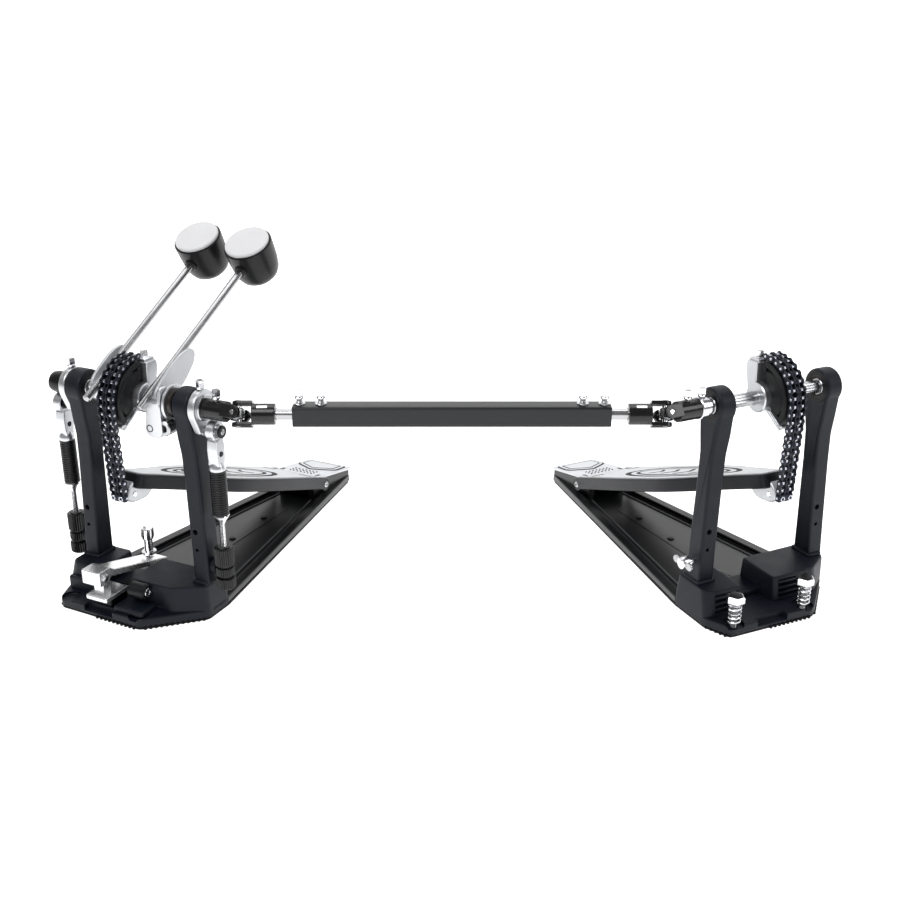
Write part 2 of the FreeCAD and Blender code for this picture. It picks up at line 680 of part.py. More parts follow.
def joint_fork(name, centre, direction, root_length, turn, clearance):
    """Universal joint fork with its joint centre on the x axis, opening in one direction.

    turn is the angle of its ears about x from the vertical.
    """
    hub_low = "%s - yoke_reach - %s" % (centre, root_length) if direction > 0 else "%s + yoke_reach" % centre
    hub = cylinder(name + "_hub", "yoke_radius", root_length, (hub_low, 0, 0), "x")
    ears = []
    for side in (-1, 1):
        low_z = "ear_gap / 2" if side > 0 else "-ear_gap / 2 - ear_thick"
        first = "-yoke_reach - 1" if direction > 0 else "0"
        last = "0" if direction > 0 else "yoke_reach + 1"
        ears.append(block(name + "_arm", (first, "-5", low_z), (last, "5", "(%s) + ear_thick" % low_z)))
        ears.append(cylinder(name + "_tip", "5", "ear_thick", (0, 0, low_z)))
    web = block(name + "_web", (first, "-5", "-ear_gap / 2"), (last, "5", "ear_gap / 2"))
    gap = block(name + "_gap", ("-yoke_reach", "-6", "-ear_gap / 2"), ("yoke_reach", "6", "ear_gap / 2"))
    holes = cylinder(name + "_ear_hole", "cross_pin_radius + " + clearance, "60", (0, 0, "-30"))
    ear_pair = cut(name + "_ear_pair", fuse(name + "_ear_blank", ears + [web]), [holes, gap])
    envelope = cylinder(name + "_envelope", "yoke_radius + 1.6", "60", ("-30", 0, 0), "x")
    trimmed = doc.addObject("Part::MultiCommon", name + "_ears")
    trimmed.Shapes = [ear_pair, envelope]
    trimmed.setExpression("Placement", cells(frame(centre, 0, 0, "x", turn)))
    return [hub, trimmed]


def inner_yoke(name, hand, hub_start, keys):
    """Fork on the inner end of a cam shaft, with holes for its key bolts."""
    centre = "%d * joint_reach" % hand
    solids = joint_fork(name + "_inner", centre, hand, "(joint_reach - yoke_reach - %s)" % hub_start,
                        "90 - half_travel", "cross_clearance")
    bore = cylinder(name + "_inner_bore", "journal_radius", "60",
                    ("%d * (joint_reach - yoke_reach - 4) - 30 - %d * 30" % (hand, hand), 0, 0), "x")
    holes = [cylinder(name + "_yoke_key_hole", "key_radius", "20", (x, 0, 0)) for x in keys]
    finish(cut(name + "_inner_fork", fuse(name + "_inner_blank", solids), [bore] + holes),
           name + "_inner_yoke", SHAFT[hand])


def drive_rod(name, hand, inside):
    """Sliding rod of the drive shaft with the fork on its outer end."""
    centre = "%d * %s" % (-hand, JOINT_X)
    solids = joint_fork(name + "_outer", centre, -hand, "(%s - yoke_reach - tube_end)" % JOINT_X,
                        "-half_travel", "0")
    start = "-tube_end - 2" if hand > 0 else "tube_half - %s" % inside
    rod = cylinder(name + "_slide", "drive_rod_radius", "tube_end + 2 - tube_half + %s" % inside,
                   (start, 0, 0), "x")
    finish(fuse(name + "_drive_solid", solids + [rod]), name + "_drive_rod", DRIVE)


def joint_cross(name, hand):
    """Cross of a universal joint: its upright pin sits in the outer fork."""
    reach = "ear_gap / 2 + ear_thick"
    upright = cylinder(name + "_upright", "cross_pin_radius", "2 * (%s)" % reach, (0, 0, "-(%s)" % reach))
    level = cylinder(name + "_level", "cross_pin_radius", "2 * (%s)" % reach, (0, "-(%s)" % reach, 0), "y")
    heart = prism(name + "_heart", 8, "8.4", "8.4", (0, 0, "-4.2"), "z")
    place = " * ".join([DRIVE, frame("%d * %s" % (-hand, JOINT_X), 0, 0, "x", "-half_travel"),
                        frame(0, 0, 0, "z", "%d * pedal_yaw" % -hand)])
    finish(fuse(name + "_cross_solid", [upright, level, heart]), name + "_joint_cross", place)


def drive_tube():
    """Square tube of the drive shaft, bored for the two sliding rods."""
    body = new_body("drive_tube", DRIVE)
    section = new_sketch(body, "YZ")
    rectangle(section, "-tube_side / 2", "-tube_side / 2", "tube_side / 2", "tube_side / 2")
    pad(body, section, "2 * tube_half", True)
    soften(body, "1.8", runs_along("x", 100))
    bore = new_sketch(body, "YZ")
    circle(bore, "0", "0", "drive_rod_radius + running_gap")
    pocket(body, bore, "2 * tube_half + 4")
    keys = new_sketch(body, "XY", "tube_side / 2")
    for x in TUBE_KEYS:
        circle(keys, x, "0", "key_radius")
    pocket(body, keys, "2 * (tube_side / 2 - drive_rod_radius - 0.5)")
    bolts = [key_bolt("tube_key", x, 0, "drive_rod_radius + 0.5", "10.5") for x in TUBE_KEYS]
    finish(group("tube_key_set", bolts), "drive_tube_bolts", DRIVE)


TUBE_KEYS = ("-113", "-97", "97", "113")


# ---- hoop clamp and spurs ------------------------------------------------------------

def hoop_clamp():
    """Foot, rocking upper jaw and key bolt that grip the drum's hoop."""
    low, high = "clamp_x - clamp_width / 2", "clamp_x + clamp_width / 2"
    sole = block("clamp_sole", (low, "-62", "channel_floor"), (high, "-23", "channel_floor + 4"))
    lip = block("clamp_lip", (low, "-62", "channel_floor + 3"), (high, "-50", "channel_floor + 11"))
    leg = block("clamp_leg", (low, "-46", "channel_floor + 3"), (high, "-41", "channel_floor + 21"))
    finish(fuse("clamp_foot_solid", [sole, lip, leg]), "hoop_clamp_foot", PEDAL[1])

    rocker = new_body("hoop_clamp_rocker", PEDAL[1])
    side = new_sketch(rocker, "YZ", "clamp_x")
    polygon(side, [("-66", "38"), ("-40", "38"), ("-34", "35.5"), ("28", "18.5"), ("28", "23"),
                   ("-30", "41.5"), ("-38", "51"), ("-66", "51")])
    pad(rocker, side, "clamp_width", True)
    hole = new_sketch(rocker, "XY", "20")
    circle(hole, "clamp_x", "clamp_bolt_y", "3.4")
    pocket(rocker, hole, "60")

    stem = cylinder("clamp_stem", "clamp_bolt_radius", "34", ("clamp_x", "clamp_bolt_y", "9"))
    collar = cylinder("clamp_collar", "6", "3", ("clamp_x", "clamp_bolt_y", "29.6"))
    head = prism("clamp_head", 4, "5.6", "7", ("clamp_x", "clamp_bolt_y", "42"), "z")
    finish(fuse("clamp_bolt_solid", [stem, collar, head]), "hoop_clamp_bolt", PEDAL[1])


def spurs():
    """Two spur bolts with their springs, at the nose of the slave casting."""
    solids = []
    for x in ("spur_left_x", "spur_right_x"):
        stem = cylinder("spur_stem", "3.2", "29.5", (x, "spur_y", "0.5"))
        cup = cylinder("spur_cup", "7", "5", (x, "spur_y", "29"))
        solids.append(fuse("spur_bolt", [stem, cup]))
        coil = cylinder("spur_coil", "5.6", "15", (x, "spur_y", "channel_floor"))
        bore = cylinder("spur_coil_bore", "3.8", "15", (x, "spur_y", "channel_floor"))
        solids.append(cut("spur_spring", coil, [bore]))
    finish(group("spur_set", solids), "slave_spurs", PEDAL[-1])


# ---- assembly ------------------------------------------------------------------------

YOKE_KEYS = {1: ("79",), -1: ("-66", "-79")}

for name, hand in (("main", 1), ("slave", -1)):
    rubber_mat(name, hand)
    base_plate(name, hand)
    front_casting(name, hand)
    posts(name, hand)
    bearings(name, hand)
    heel_plate(name, hand)
    hinge_pin(name, hand)
    footboard(name, hand)
    chain_connector(name, hand)
    cam(name, hand)
    cam_carrier(name, hand)
    chain_wrap(name, hand)
    chain_run(name, hand)
    inner_yoke(name, hand, "69" if hand > 0 else "59.6", YOKE_KEYS[hand])
    drive_rod(name, hand, "40" if hand > 0 else "90")
    joint_cross(name, hand)

POST_NEAR = "(post_centre - post_width / 2 - 0.6)"
POST_FAR = "(post_centre + post_width / 2 + 0.6)"
YOKE_SEAT = "(joint_reach - yoke_reach - 4)"

main_shaft = stepped_shaft("main_shaft", 1, [
    ("round", "journal_radius", "post_shift - %s - 6" % POST_FAR, "14"),
    ("hex", "shaft_flats", "outer_rod_x + 7.5", "-10.5"),
    ("round", "spigot_radius", "14", "30")])
finish(main_shaft, "main_shaft", SHAFT[1])

inner_blank = stepped_shaft("inner_shaft", 1, [
    ("round", "journal_radius", "15.5", YOKE_SEAT),
    ("hex", "shaft_flats", "40", POST_NEAR)])
pilot = cylinder("pilot_bore", "spigot_radius + running_gap", "15.5", ("15.5", 0, 0), "x")
finish(cut("inner_shaft_bored", inner_blank, [pilot]), "inner_shaft", SHAFT[1])

slave_shaft = stepped_shaft("slave_shaft", -1, [
    ("round", "journal_radius", "-post_shift - " + POST_FAR, YOKE_SEAT),
    ("hex", "shaft_flats", "-" + POST_NEAR, "-10.5"),
    ("hex", "shaft_flats", "14.5", POST_NEAR + " - post_shift")])
finish(slave_shaft, "slave_shaft", SHAFT[-1])

beater_holder("outer", "outer_rod_x", -1, "7.5", "8", "5.5")
beater_holder("inner", "inner_rod_x", 1, "7", "13", "6.5")
beater("outer", "outer_rod_x")
beater("inner", "inner_rod_x")
for name, side in (("outer", -1), ("inner", 1)):
    spring_crank(name, side)
    spring_set(name, side)

crank_key_x = POST_FAR + " + 3"
carrier_key = ("9", "cam_radius - 11", "9.5")
crank_key = ("0", "8", "8.5")
yoke_key = ("0", "journal_radius", "6")
key_sets = {
    "main_key_bolts": (1, [("6",) + carrier_key, ("post_shift - (%s)" % crank_key_x,) + crank_key]),
    "inner_key_bolts": (1, [(crank_key_x + " + post_shift",) + crank_key]
                        + [(x,) + yoke_key for x in YOKE_KEYS[1]]),
    "slave_key_bolts": (-1, [("-6",) + carrier_key] + [(x,) + yoke_key for x in YOKE_KEYS[-1]]),
}
for label, (hand, places) in key_sets.items():
    bolts = [key_bolt(label, x, y, seat, shown) for x, y, seat, shown in places]
    finish(group(label + "_set", bolts), label, SHAFT[hand])

drive_tube()
hoop_clamp()
spurs()

doc.recompute()
for item in doc.Objects:
    if "Invalid" in item.State or "Error" in item.State:
        raise RuntimeError("%s failed: %s" % (item.Name, item.State))
for item in subparts:
    if item.Shape.isNull() or not item.Shape.isValid():
        raise RuntimeError("%s has no valid shape" % item.Label)

os.makedirs("parts", exist_ok=True)
for item in subparts:
    item.Shape.exportStep("parts/%s.step" % item.Label)
print("%d sub-parts" % len(subparts))
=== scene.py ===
import json
import math

import bmesh
import bpy
from mathutils import Matrix, Vector


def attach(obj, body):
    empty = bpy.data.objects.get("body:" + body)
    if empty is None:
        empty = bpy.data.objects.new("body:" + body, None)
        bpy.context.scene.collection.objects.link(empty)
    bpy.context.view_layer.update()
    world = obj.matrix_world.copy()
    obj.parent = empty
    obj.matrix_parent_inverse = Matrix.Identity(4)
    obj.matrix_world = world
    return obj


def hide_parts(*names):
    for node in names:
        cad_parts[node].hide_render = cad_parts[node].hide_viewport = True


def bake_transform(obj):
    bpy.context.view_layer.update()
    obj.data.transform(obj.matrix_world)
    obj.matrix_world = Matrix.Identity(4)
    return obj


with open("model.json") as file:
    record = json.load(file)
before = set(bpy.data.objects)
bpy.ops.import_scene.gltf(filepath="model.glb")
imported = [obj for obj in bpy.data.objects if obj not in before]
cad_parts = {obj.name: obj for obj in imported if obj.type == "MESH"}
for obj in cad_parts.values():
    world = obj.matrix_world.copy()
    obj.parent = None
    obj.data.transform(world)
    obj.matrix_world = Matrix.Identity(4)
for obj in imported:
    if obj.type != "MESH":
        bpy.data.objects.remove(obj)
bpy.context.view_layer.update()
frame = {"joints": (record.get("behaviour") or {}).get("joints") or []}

# ---- frames --------------------------------------------------------------------------
# Every piece is drawn in millimetres in one of these frames and then moved to the row
# frame. "hand" is +1 on the main pedal and -1 on the slave pedal.

JOINTS = {joint["name"]: joint for joint in frame["joints"]}
TO_METRES = Matrix.Scale(0.001, 4)
BOARD_SLOPE = math.radians(20.8)
BEATER_LEAN = math.radians(61.7)
HALF_TRAVEL = math.radians(30)
PEDAL_YAW = math.radians(26)
SHAFT_HEIGHT = 177
PEDAL_REACH = 247
JOINT_REACH = 98.5
JOINT_X = PEDAL_REACH - JOINT_REACH * math.cos(PEDAL_YAW)
WORD = {1: "main", -1: "slave"}


def joint_frame(name):
    """Frame at a hinge, in metres, with +x along the hinge and +z up."""
    joint = JOINTS[name]
    x = Vector(joint["axis"]).normalized()
    z = Vector((0, 0, 1))
    frame_at = Matrix((x, z.cross(x), z)).transposed().to_4x4()
    frame_at.translation = Vector(joint["pos_m"])
    return frame_at


def turned(angle, axis):
    return Matrix.Rotation(angle, 4, axis)


def moved(x, y, z):
    return Matrix.Translation((x, y, z))


SHAFT = {hand: joint_frame(word + "_shaft_turn") @ TO_METRES for hand, word in WORD.items()}
BOARD = {hand: joint_frame(word + "_footboard_tilt") @ TO_METRES @ turned(-BOARD_SLOPE, "X")
         for hand, word in WORD.items()}
PEDAL = {hand: SHAFT[hand] @ moved(0, 0, -SHAFT_HEIGHT) for hand in WORD}
DRIVE = joint_frame("drive_tube_turn") @ TO_METRES
CENTRE = (SHAFT[1].translation + SHAFT[-1].translation) / 2


def beater_frame(rod_x):
    """Frame of a beater: z runs up its rod and -y is where its face looks."""
    return SHAFT[1] @ moved(rod_x, 0, 0) @ turned(-BEATER_LEAN, "X")


# ---- materials -----------------------------------------------------------------------

def shader(name, color, roughness, metallic=0.0, coat=0.0, grain=60.0, mottling=0.12, bump=0.02,
           streak=(1, 1, 1), rough_spread=0.08, specular=0.5):
    """Painted or metal surface: mottled colour, uneven gloss and a fine relief."""
    material = bpy.data.materials.new(name)
    material.use_nodes = True
    nodes, links = material.node_tree.nodes, material.node_tree.links
    surface = nodes["Principled BSDF"]
    surface.inputs["Metallic"].default_value = metallic
    surface.inputs["Coat Weight"].default_value = coat
    surface.inputs["Coat Roughness"].default_value = 0.08
    surface.inputs["Specular IOR Level"].default_value = specular
    place = nodes.new("ShaderNodeTexCoord")
    stretch = nodes.new("ShaderNodeMapping")
    stretch.inputs["Scale"].default_value = streak
    links.new(place.outputs["Object"], stretch.inputs["Vector"])

    broad = nodes.new("ShaderNodeTexNoise")
    broad.inputs["Scale"].default_value = grain
    broad.inputs["Detail"].default_value = 5
    links.new(stretch.outputs["Vector"], broad.inputs["Vector"])
    tint = nodes.new("ShaderNodeValToRGB")
    tint.color_ramp.elements[0].position = 0.3
    tint.color_ramp.elements[1].position = 0.75
    tint.color_ramp.elements[0].color = [c * (1 - mottling) for c in color] + [1]
    tint.color_ramp.elements[1].color = [min(1, c * (1 + mottling)) for c in color] + [1]
    links.new(broad.outputs["Fac"], tint.inputs["Fac"])
    links.new(tint.outputs["Color"], surface.inputs["Base Color"])

    gloss = nodes.new("ShaderNodeMapRange")
    gloss.inputs["To Min"].default_value = max(0.02, roughness - rough_spread)
    gloss.inputs["To Max"].default_value = roughness + rough_spread
    links.new(broad.outputs["Fac"], gloss.inputs["Value"])
    links.new(gloss.outputs["Result"], surface.inputs["Roughness"])

    fine = nodes.new("ShaderNodeTexNoise")
    fine.inputs["Scale"].default_value = grain * 30
    fine.inputs["Detail"].default_value = 3
    links.new(stretch.outputs["Vector"], fine.inputs["Vector"])
    relief = nodes.new("ShaderNodeBump")
    relief.inputs["Strength"].default_value = bump
    relief.inputs["Distance"].default_value = 0.001
    links.new(fine.outputs["Fac"], relief.inputs["Height"])
    links.new(relief.outputs["Normal"], surface.inputs["Normal"])
    return material


COAT = shader("blue_black_coat", (0.0042, 0.0056, 0.0110), 0.47, bump=0.10, specular=0.22)
DARK_COAT = shader("black_coat", (0.0030, 0.0034, 0.0042), 0.40, bump=0.08, specular=0.24)
PLATE = shader("plate_coat", (0.0045, 0.005, 0.006), 0.30, bump=0.0, mottling=0.05, rough_spread=0.02,
               grain=12.0, specular=0.45)
# Lighter grey for the plate's beads: a painted highlight, the bright lines of sheen along the glossy black
# plate.
PLATE_BEAD_SHEEN = shader("plate_bead_sheen", (0.10, 0.105, 0.11), 0.36, 0.5, bump=0.05)
RUBBER = shader("mat_rubber", (0.0060, 0.0060, 0.0064), 0.75, bump=0.4, specular=0.2)
BOARD_SIDE = shader("board_side", (0.0065, 0.0072, 0.0095), 0.38, bump=0.05, specular=0.24)
BOARD_TOP = shader("board_top", (0.40, 0.41, 0.43), 0.36, 0.35, bump=0.04, mottling=0.05)
BOARD_PRINT = shader("board_print", (0.010, 0.011, 0.013), 0.70, bump=0.05, specular=0.2)
HEEL = shader("heel_silver", (0.60, 0.61, 0.63), 0.36, 0.55, bump=0.03, mottling=0.05)
LEAF = shader("leaf_silver", (0.50, 0.51, 0.53), 0.45, 0.6, bump=0.03, mottling=0.05)
SILVER = shader("cast_silver", (0.60, 0.61, 0.63), 0.32, 0.95, bump=0.05, mottling=0.05)
CHROME = shader("chrome_plate", (0.70, 0.70, 0.72), 0.18, 1.0, bump=0.01, mottling=0.03, rough_spread=0.04)
CLAMP = shader("clamp_chrome", (0.78, 0.78, 0.79), 0.26, 0.9, bump=0.02, mottling=0.04)
STEEL = shader("shaft_steel", (0.46, 0.47, 0.48), 0.26, 1.0, bump=0.02, mottling=0.05)
ROD = shader("rod_steel", (0.42, 0.42, 0.43), 0.24, 1.0, bump=0.01, mottling=0.04, rough_spread=0.05)
CHAIN = shader("chain_steel", (0.010, 0.012, 0.021), 0.38, 0.4, bump=0.03, mottling=0.25, specular=0.4)
# Bright steel of the chain's pin ends and end rivets; on the rollers it is a painted highlight, the gleam
# between the dark plates.
RIVET_AND_GLEAM = shader("rivet_ends_and_roller_gleam", (0.50, 0.52, 0.58), 0.26, 1.0, bump=0.02)
GLOSS_BLACK = shader("gloss_black", (0.0026, 0.0026, 0.0032), 0.34, coat=0.06, bump=0.005,
                     rough_spread=0.03, specular=0.24)
WHITE_FACE = shader("white_face", (0.60, 0.60, 0.61), 0.5, bump=0.03, mottling=0.02, specular=0.2)
SPRING_BLACK = shader("spring_black", (0.0035, 0.0038, 0.0045), 0.34, coat=0.1, bump=0.03, specular=0.32)
TUBE_COAT = shader("tube_coat", (0.0065, 0.0075, 0.0095), 0.34, coat=0.1, bump=0.04, streak=(0.15, 1, 1),
                   specular=0.32)
YOKE_BLACK = shader("yoke_black", (0.0055, 0.0055, 0.006), 0.26, 0.2, coat=0.2, bump=0.03, specular=0.4)
BRONZE = shader("bearing_race", (0.05, 0.045, 0.042), 0.32, 0.9, bump=0.03)


# ---- mesh tools ----------------------------------------------------------------------

def rounded(points, radius, steps=5):
    """The outline with each corner replaced by a short curve."""
    result = []
    count = len(points)
    for i in range(count):
        corner = Vector(points[i])
        before = Vector(points[i - 1]) - corner
        after = Vector(points[(i + 1) % count]) - corner
        reach = min(radius, before.length * 0.49, after.length * 0.49)
        start = corner + before.normalized() * reach
        end = corner + after.normalized() * reach
        for k in range(steps + 1):
            t = k / steps
            result.append(tuple(start * (1 - t) ** 2 + corner * 2 * t * (1 - t) + end * t ** 2))
    return result


def arc(cx, cy, radius, first, last, steps):
    """Points on a circle between two angles in degrees."""
    angles = [math.radians(first + (last - first) * k / steps) for k in range(steps + 1)]
    return [(cx + radius * math.cos(a), cy + radius * math.sin(a)) for a in angles]


AXIS_POINT = {
    "X": lambda a, b, h: (h, a, b),
    "Y": lambda a, b, h: (a, h, b),
    "Z": lambda a, b, h: (a, b, h),
}


def loft(levels, axis="Z"):
    """Closed solid through outlines with the same number of points: (height, outline)."""
    mesh = bmesh.new()
    point = AXIS_POINT[axis]
    rings = [[mesh.verts.new(point(a, b, height)) for a, b in outline] for height, outline in levels]
    count = len(rings[0])
    for low, high in zip(rings, rings[1:]):
        for i in range(count):
            mesh.faces.new((low[i], low[(i + 1) % count], high[(i + 1) % count], high[i]))
    mesh.faces.new(rings[0])
    mesh.faces.new(rings[-1])
    bmesh.ops.recalc_face_normals(mesh, faces=mesh.faces)
    return mesh


def slab(outline, low, high, axis="Z", edge=0.0, steps=3):
    """Outline pushed along an axis, with its rims rounded by edge millimetres."""
    if not edge:
        return loft([(low, outline), (high, outline)], axis)
    levels = []
    for end, sign in ((low, 1), (high, -1)):
        rim = []
        for k in range(steps + 1):
            angle = math.pi / 2 * k / steps
            height = end + sign * edge * (1 - math.sin(angle))
            rim.append((height, inset(outline, edge * (1 - math.cos(angle)))))
        levels.append(rim)
    first = sorted(levels[0], key=lambda level: level[0])
    last = sorted(levels[1], key=lambda level: level[0])
    return loft(first + last, axis)


def inset(outline, distance):
    """Outline moved inwards by a distance, corner by corner."""
    if distance < 1e-6:
        return outline
    count = len(outline)
    area = sum(outline[i - 1][0] * outline[i][1] - outline[i][0] * outline[i - 1][1] for i in range(count))
    side = 1 if area > 0 else -1
    result = []
    for i in range(count):
        here = Vector(outline[i])
        back, ahead = i - 1, (i + 1) % count
        before = here - Vector(outline[back])
        after = Vector(outline[ahead]) - here
        if before.length < 1e-6 or after.length < 1e-6:
            before = after = Vector(outline[ahead]) - Vector(outline[back])
        direction = before.normalized() + after.normalized()
        if direction.length < 1e-6:
            direction = after
        direction.normalize()
        normal = Vector((-direction.y, direction.x)) * side
        widen = max(0.5, abs(direction.dot(after.normalized())))
        result.append(tuple(here + normal * distance / widen))
    return result


def lathe(profile, axis="Z", centre=(0, 0, 0), sides=40):
    """Solid of revolution: (radius, height) pairs from one end of the axis to the other."""
    mesh = bmesh.new()
    point = AXIS_POINT[axis]
    turns = [2 * math.pi * k / sides for k in range(sides)]
    rings = []
    for radius, height in profile:
        if radius < 1e-6:
            rings.append([mesh.verts.new(point(0, 0, height))])
        else:
            rings.append([mesh.verts.new(point(radius * math.cos(a), radius * math.sin(a), height))
                          for a in turns])
    for low, high in zip(rings, rings[1:]):
        for k in range(sides):
            following = (k + 1) % sides
            if len(low) == 1 and len(high) == 1:
                continue
            if len(low) == 1:
                mesh.faces.new((low[0], high[following], high[k]))
            elif len(high) == 1:
                mesh.faces.new((low[k], low[following], high[0]))
            else:
                mesh.faces.new((low[k], low[following], high[following], high[k]))
    for cap in (rings[0], rings[-1]):
        if len(cap) > 2:
            mesh.faces.new(cap)
    bmesh.ops.recalc_face_normals(mesh, faces=mesh.faces)
    bmesh.ops.translate(mesh, verts=mesh.verts, vec=centre)
    return mesh


def rod(radius, low, high, axis="Z", centre=(0, 0, 0), edge=0.4, sides=32):
    """Round bar with chamfered ends."""
    return lathe([(radius - edge, low), (radius, low + edge), (radius, high - edge), (radius - edge, high)],
                 axis, centre, sides)


def ring(inner, outer, low, high, axis="Z", centre=(0, 0, 0), edge=0.4, sides=40):
    """Tube with chamfered rims."""
    mesh = bmesh.new()
    section = [(outer - edge, low), (outer, low + edge), (outer, high - edge), (outer - edge, high),
               (inner + edge, high), (inner, high - edge), (inner, low + edge), (inner + edge, low)]
    loops = []
    for k in range(sides):
        angle = 2 * math.pi * k / sides
        loops.append([mesh.verts.new(AXIS_POINT[axis](r * math.cos(angle), r * math.sin(angle), h))
                      for r, h in section])
    for k in range(sides):
        here, there = loops[k], loops[(k + 1) % sides]
        for i in range(len(section)):
            j = (i + 1) % len(section)
            mesh.faces.new((here[i], here[j], there[j], there[i]))
    bmesh.ops.recalc_face_normals(mesh, faces=mesh.faces)
    bmesh.ops.translate(mesh, verts=mesh.verts, vec=centre)
    return mesh


def prism(count, flats, low, high, axis="Z", centre=(0, 0, 0), edge=0.4, turn=0.0):
    """Bar with a regular section and chamfered ends."""
    radius = flats / 2 / math.cos(math.pi / count)
    corners = [2 * math.pi * k / count + turn for k in range(count)]
    outline = [(radius * math.cos(a), radius * math.sin(a)) for a in corners]
    small = [(a * (1 - edge / radius), b * (1 - edge / radius)) for a, b in outline]
    mesh = loft([(low, small), (low + edge, outline), (high - edge, outline), (high, small)], axis)
    bmesh.ops.translate(mesh, verts=mesh.verts, vec=centre)
    return mesh


def box(low, high, edge=0.6):
    """Block with rounded edges."""
    (x1, y1, z1), (x2, y2, z2) = low, high
    return slab(rounded([(x1, y1), (x2, y1), (x2, y2), (x1, y2)], edge * 1.5, 3), z1, z2, "Z", edge)


def sweep(path, radius, sides=12):
    """Round wire along a path of points."""
    mesh = bmesh.new()
    turns = [2 * math.pi * k / sides for k in range(sides)]
    points = [Vector(p) for p in path]
    rings = []
    normal = None
    for i, point in enumerate(points):
        ahead = points[min(i + 1, len(points) - 1)] - points[max(i - 1, 0)]
        ahead.normalize()
        if normal is None:
            normal = ahead.orthogonal().normalized()
        normal = (normal - ahead * normal.dot(ahead)).normalized()
        other = ahead.cross(normal)
        rings.append([mesh.verts.new(point + radius * (normal * math.cos(a) + other * math.sin(a)))
                      for a in turns])
    for low, high in zip(rings, rings[1:]):
        for k in range(sides):
            following = (k + 1) % sides
            mesh.faces.new((low[k], low[following], high[following], high[k]))
    mesh.faces.new(rings[0])
    mesh.faces.new(rings[-1])
    bmesh.ops.recalc_face_normals(mesh, faces=mesh.faces)
    return mesh


def helix(radius, low, high, turns, wire, centre=(0, 0, 0), sides=8, flat_ends=0.06):
    """Coil spring with closed end turns."""
    steps = int(turns * 28)
    path = []
    for k in range(steps + 1):
        t = k / steps
        rise = min(1, max(0, (t - flat_ends) / (1 - 2 * flat_ends)))
        angle = 2 * math.pi * turns * t
        path.append((centre[0] + radius * math.cos(angle), centre[1] + radius * math.sin(angle),
                     low + wire + (high - low - 2 * wire) * rise))
    return sweep(path, wire, sides)


def thread(crest, root, low, high, pitch):
    """Profile of a screw thread, as ridges for a lathe."""
    profile = []
    z = low
    while z < high:
        profile += [(crest, z), (root, z + pitch / 2)]
        z += pitch
    return profile


def shifted(mesh, matrix):
    bmesh.ops.transform(mesh, matrix=matrix, verts=mesh.verts)
    return mesh


def to_object(name, parts):
    """One object from bmeshes, each with its own material."""
    data = bpy.data.meshes.new(name)
    joined = bmesh.new()
    materials = []
    for mesh, material in parts:
        if material not in materials:
            materials.append(material)
        for face in mesh.faces:
            face.material_index = materials.index(material)
        scratch = bpy.data.meshes.new("scratch")
        mesh.to_mesh(scratch)
        joined.from_mesh(scratch)
        bpy.data.meshes.remove(scratch)
        mesh.free()
    joined.to_mesh(data)
    joined.free()
    for material in materials:
        data.materials.append(material)
    thing = bpy.data.objects.new(name, data)
    bpy.context.scene.collection.objects.link(thing)
    return thing


def apply_modifiers(thing):
    """Replace a mesh with the result of its modifiers."""
    bpy.context.view_layer.update()
    evaluated = thing.evaluated_get(bpy.context.evaluated_depsgraph_get())
    finished = bpy.data.meshes.new_from_object(evaluated)
    thing.modifiers.clear()
    old = thing.data
    thing.data = finished
    bpy.data.meshes.remove(old)
    finished.name = thing.name


def carve(thing, cutters):
    """Cut bmeshes out of an object."""
    for mesh in cutters:
        tool = to_object("cutter", [(mesh, thing.data.materials[0])])
        change = thing.modifiers.new("cut", "BOOLEAN")
        change.operation = "DIFFERENCE"
        change.solver = "EXACT"
        change.object = tool
        apply_modifiers(thing)
        bpy.data.objects.remove(tool)


def settle(thing, place, smooth):
    """Move a mesh to its place and shade it smooth up to an angle in degrees."""
    thing.data.transform(place)
    thing.data.shade_smooth()
    thing.data.set_sharp_from_angle(angle=math.radians(smooth))


def piece(name, parts, place, body, replaces=(), cutters=(), bevel=0.0, smooth=32):
    """Finish a piece: cut it, round its edges, put it in place and tie it to its body."""
    thing = to_object(name, parts)
    if cutters:
        carve(thing, cutters)
    if bevel:
        change = thing.modifiers.new("bevel", "BEVEL")
        change.width = bevel
        change.segments = 3
        change.limit_method = "ANGLE"
        change.angle_limit = math.radians(30)
        change.use_clamp_overlap = True
        apply_modifiers(thing)
    settle(thing, place, smooth)
    flat = thing.modifiers.new("flat_faces", "WEIGHTED_NORMAL")
    flat.keep_sharp = True
    apply_modifiers(thing)
    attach(thing, body)
    if replaces:
        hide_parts(*replaces)
    return thing


# ---- base: mats, plates, castings, posts -----------------------------------------------

HEEL_HALF, HEEL_Y, PLATE_FRONT, FLARE = 23, 281, 16, 0.157
FRONT_HALF = HEEL_HALF + FLARE * (HEEL_Y - PLATE_FRONT)
CASTING = [(-57, -48), (25, -50), (65, -12), (65, PLATE_FRONT), (-65, PLATE_FRONT), (-66, -26)]
POST_CENTRE, POST_SHIFT, POST_SPREAD, HEAD_RADIUS = 52, 2, 4.0, 14.5
POST_SKIN = 7.6
PIN_Y, PIN_Z = 222, 21
SPUR_X, SPUR_Y = (-50, 19), -42
RIB_LEVELS = (14, 19, 24)


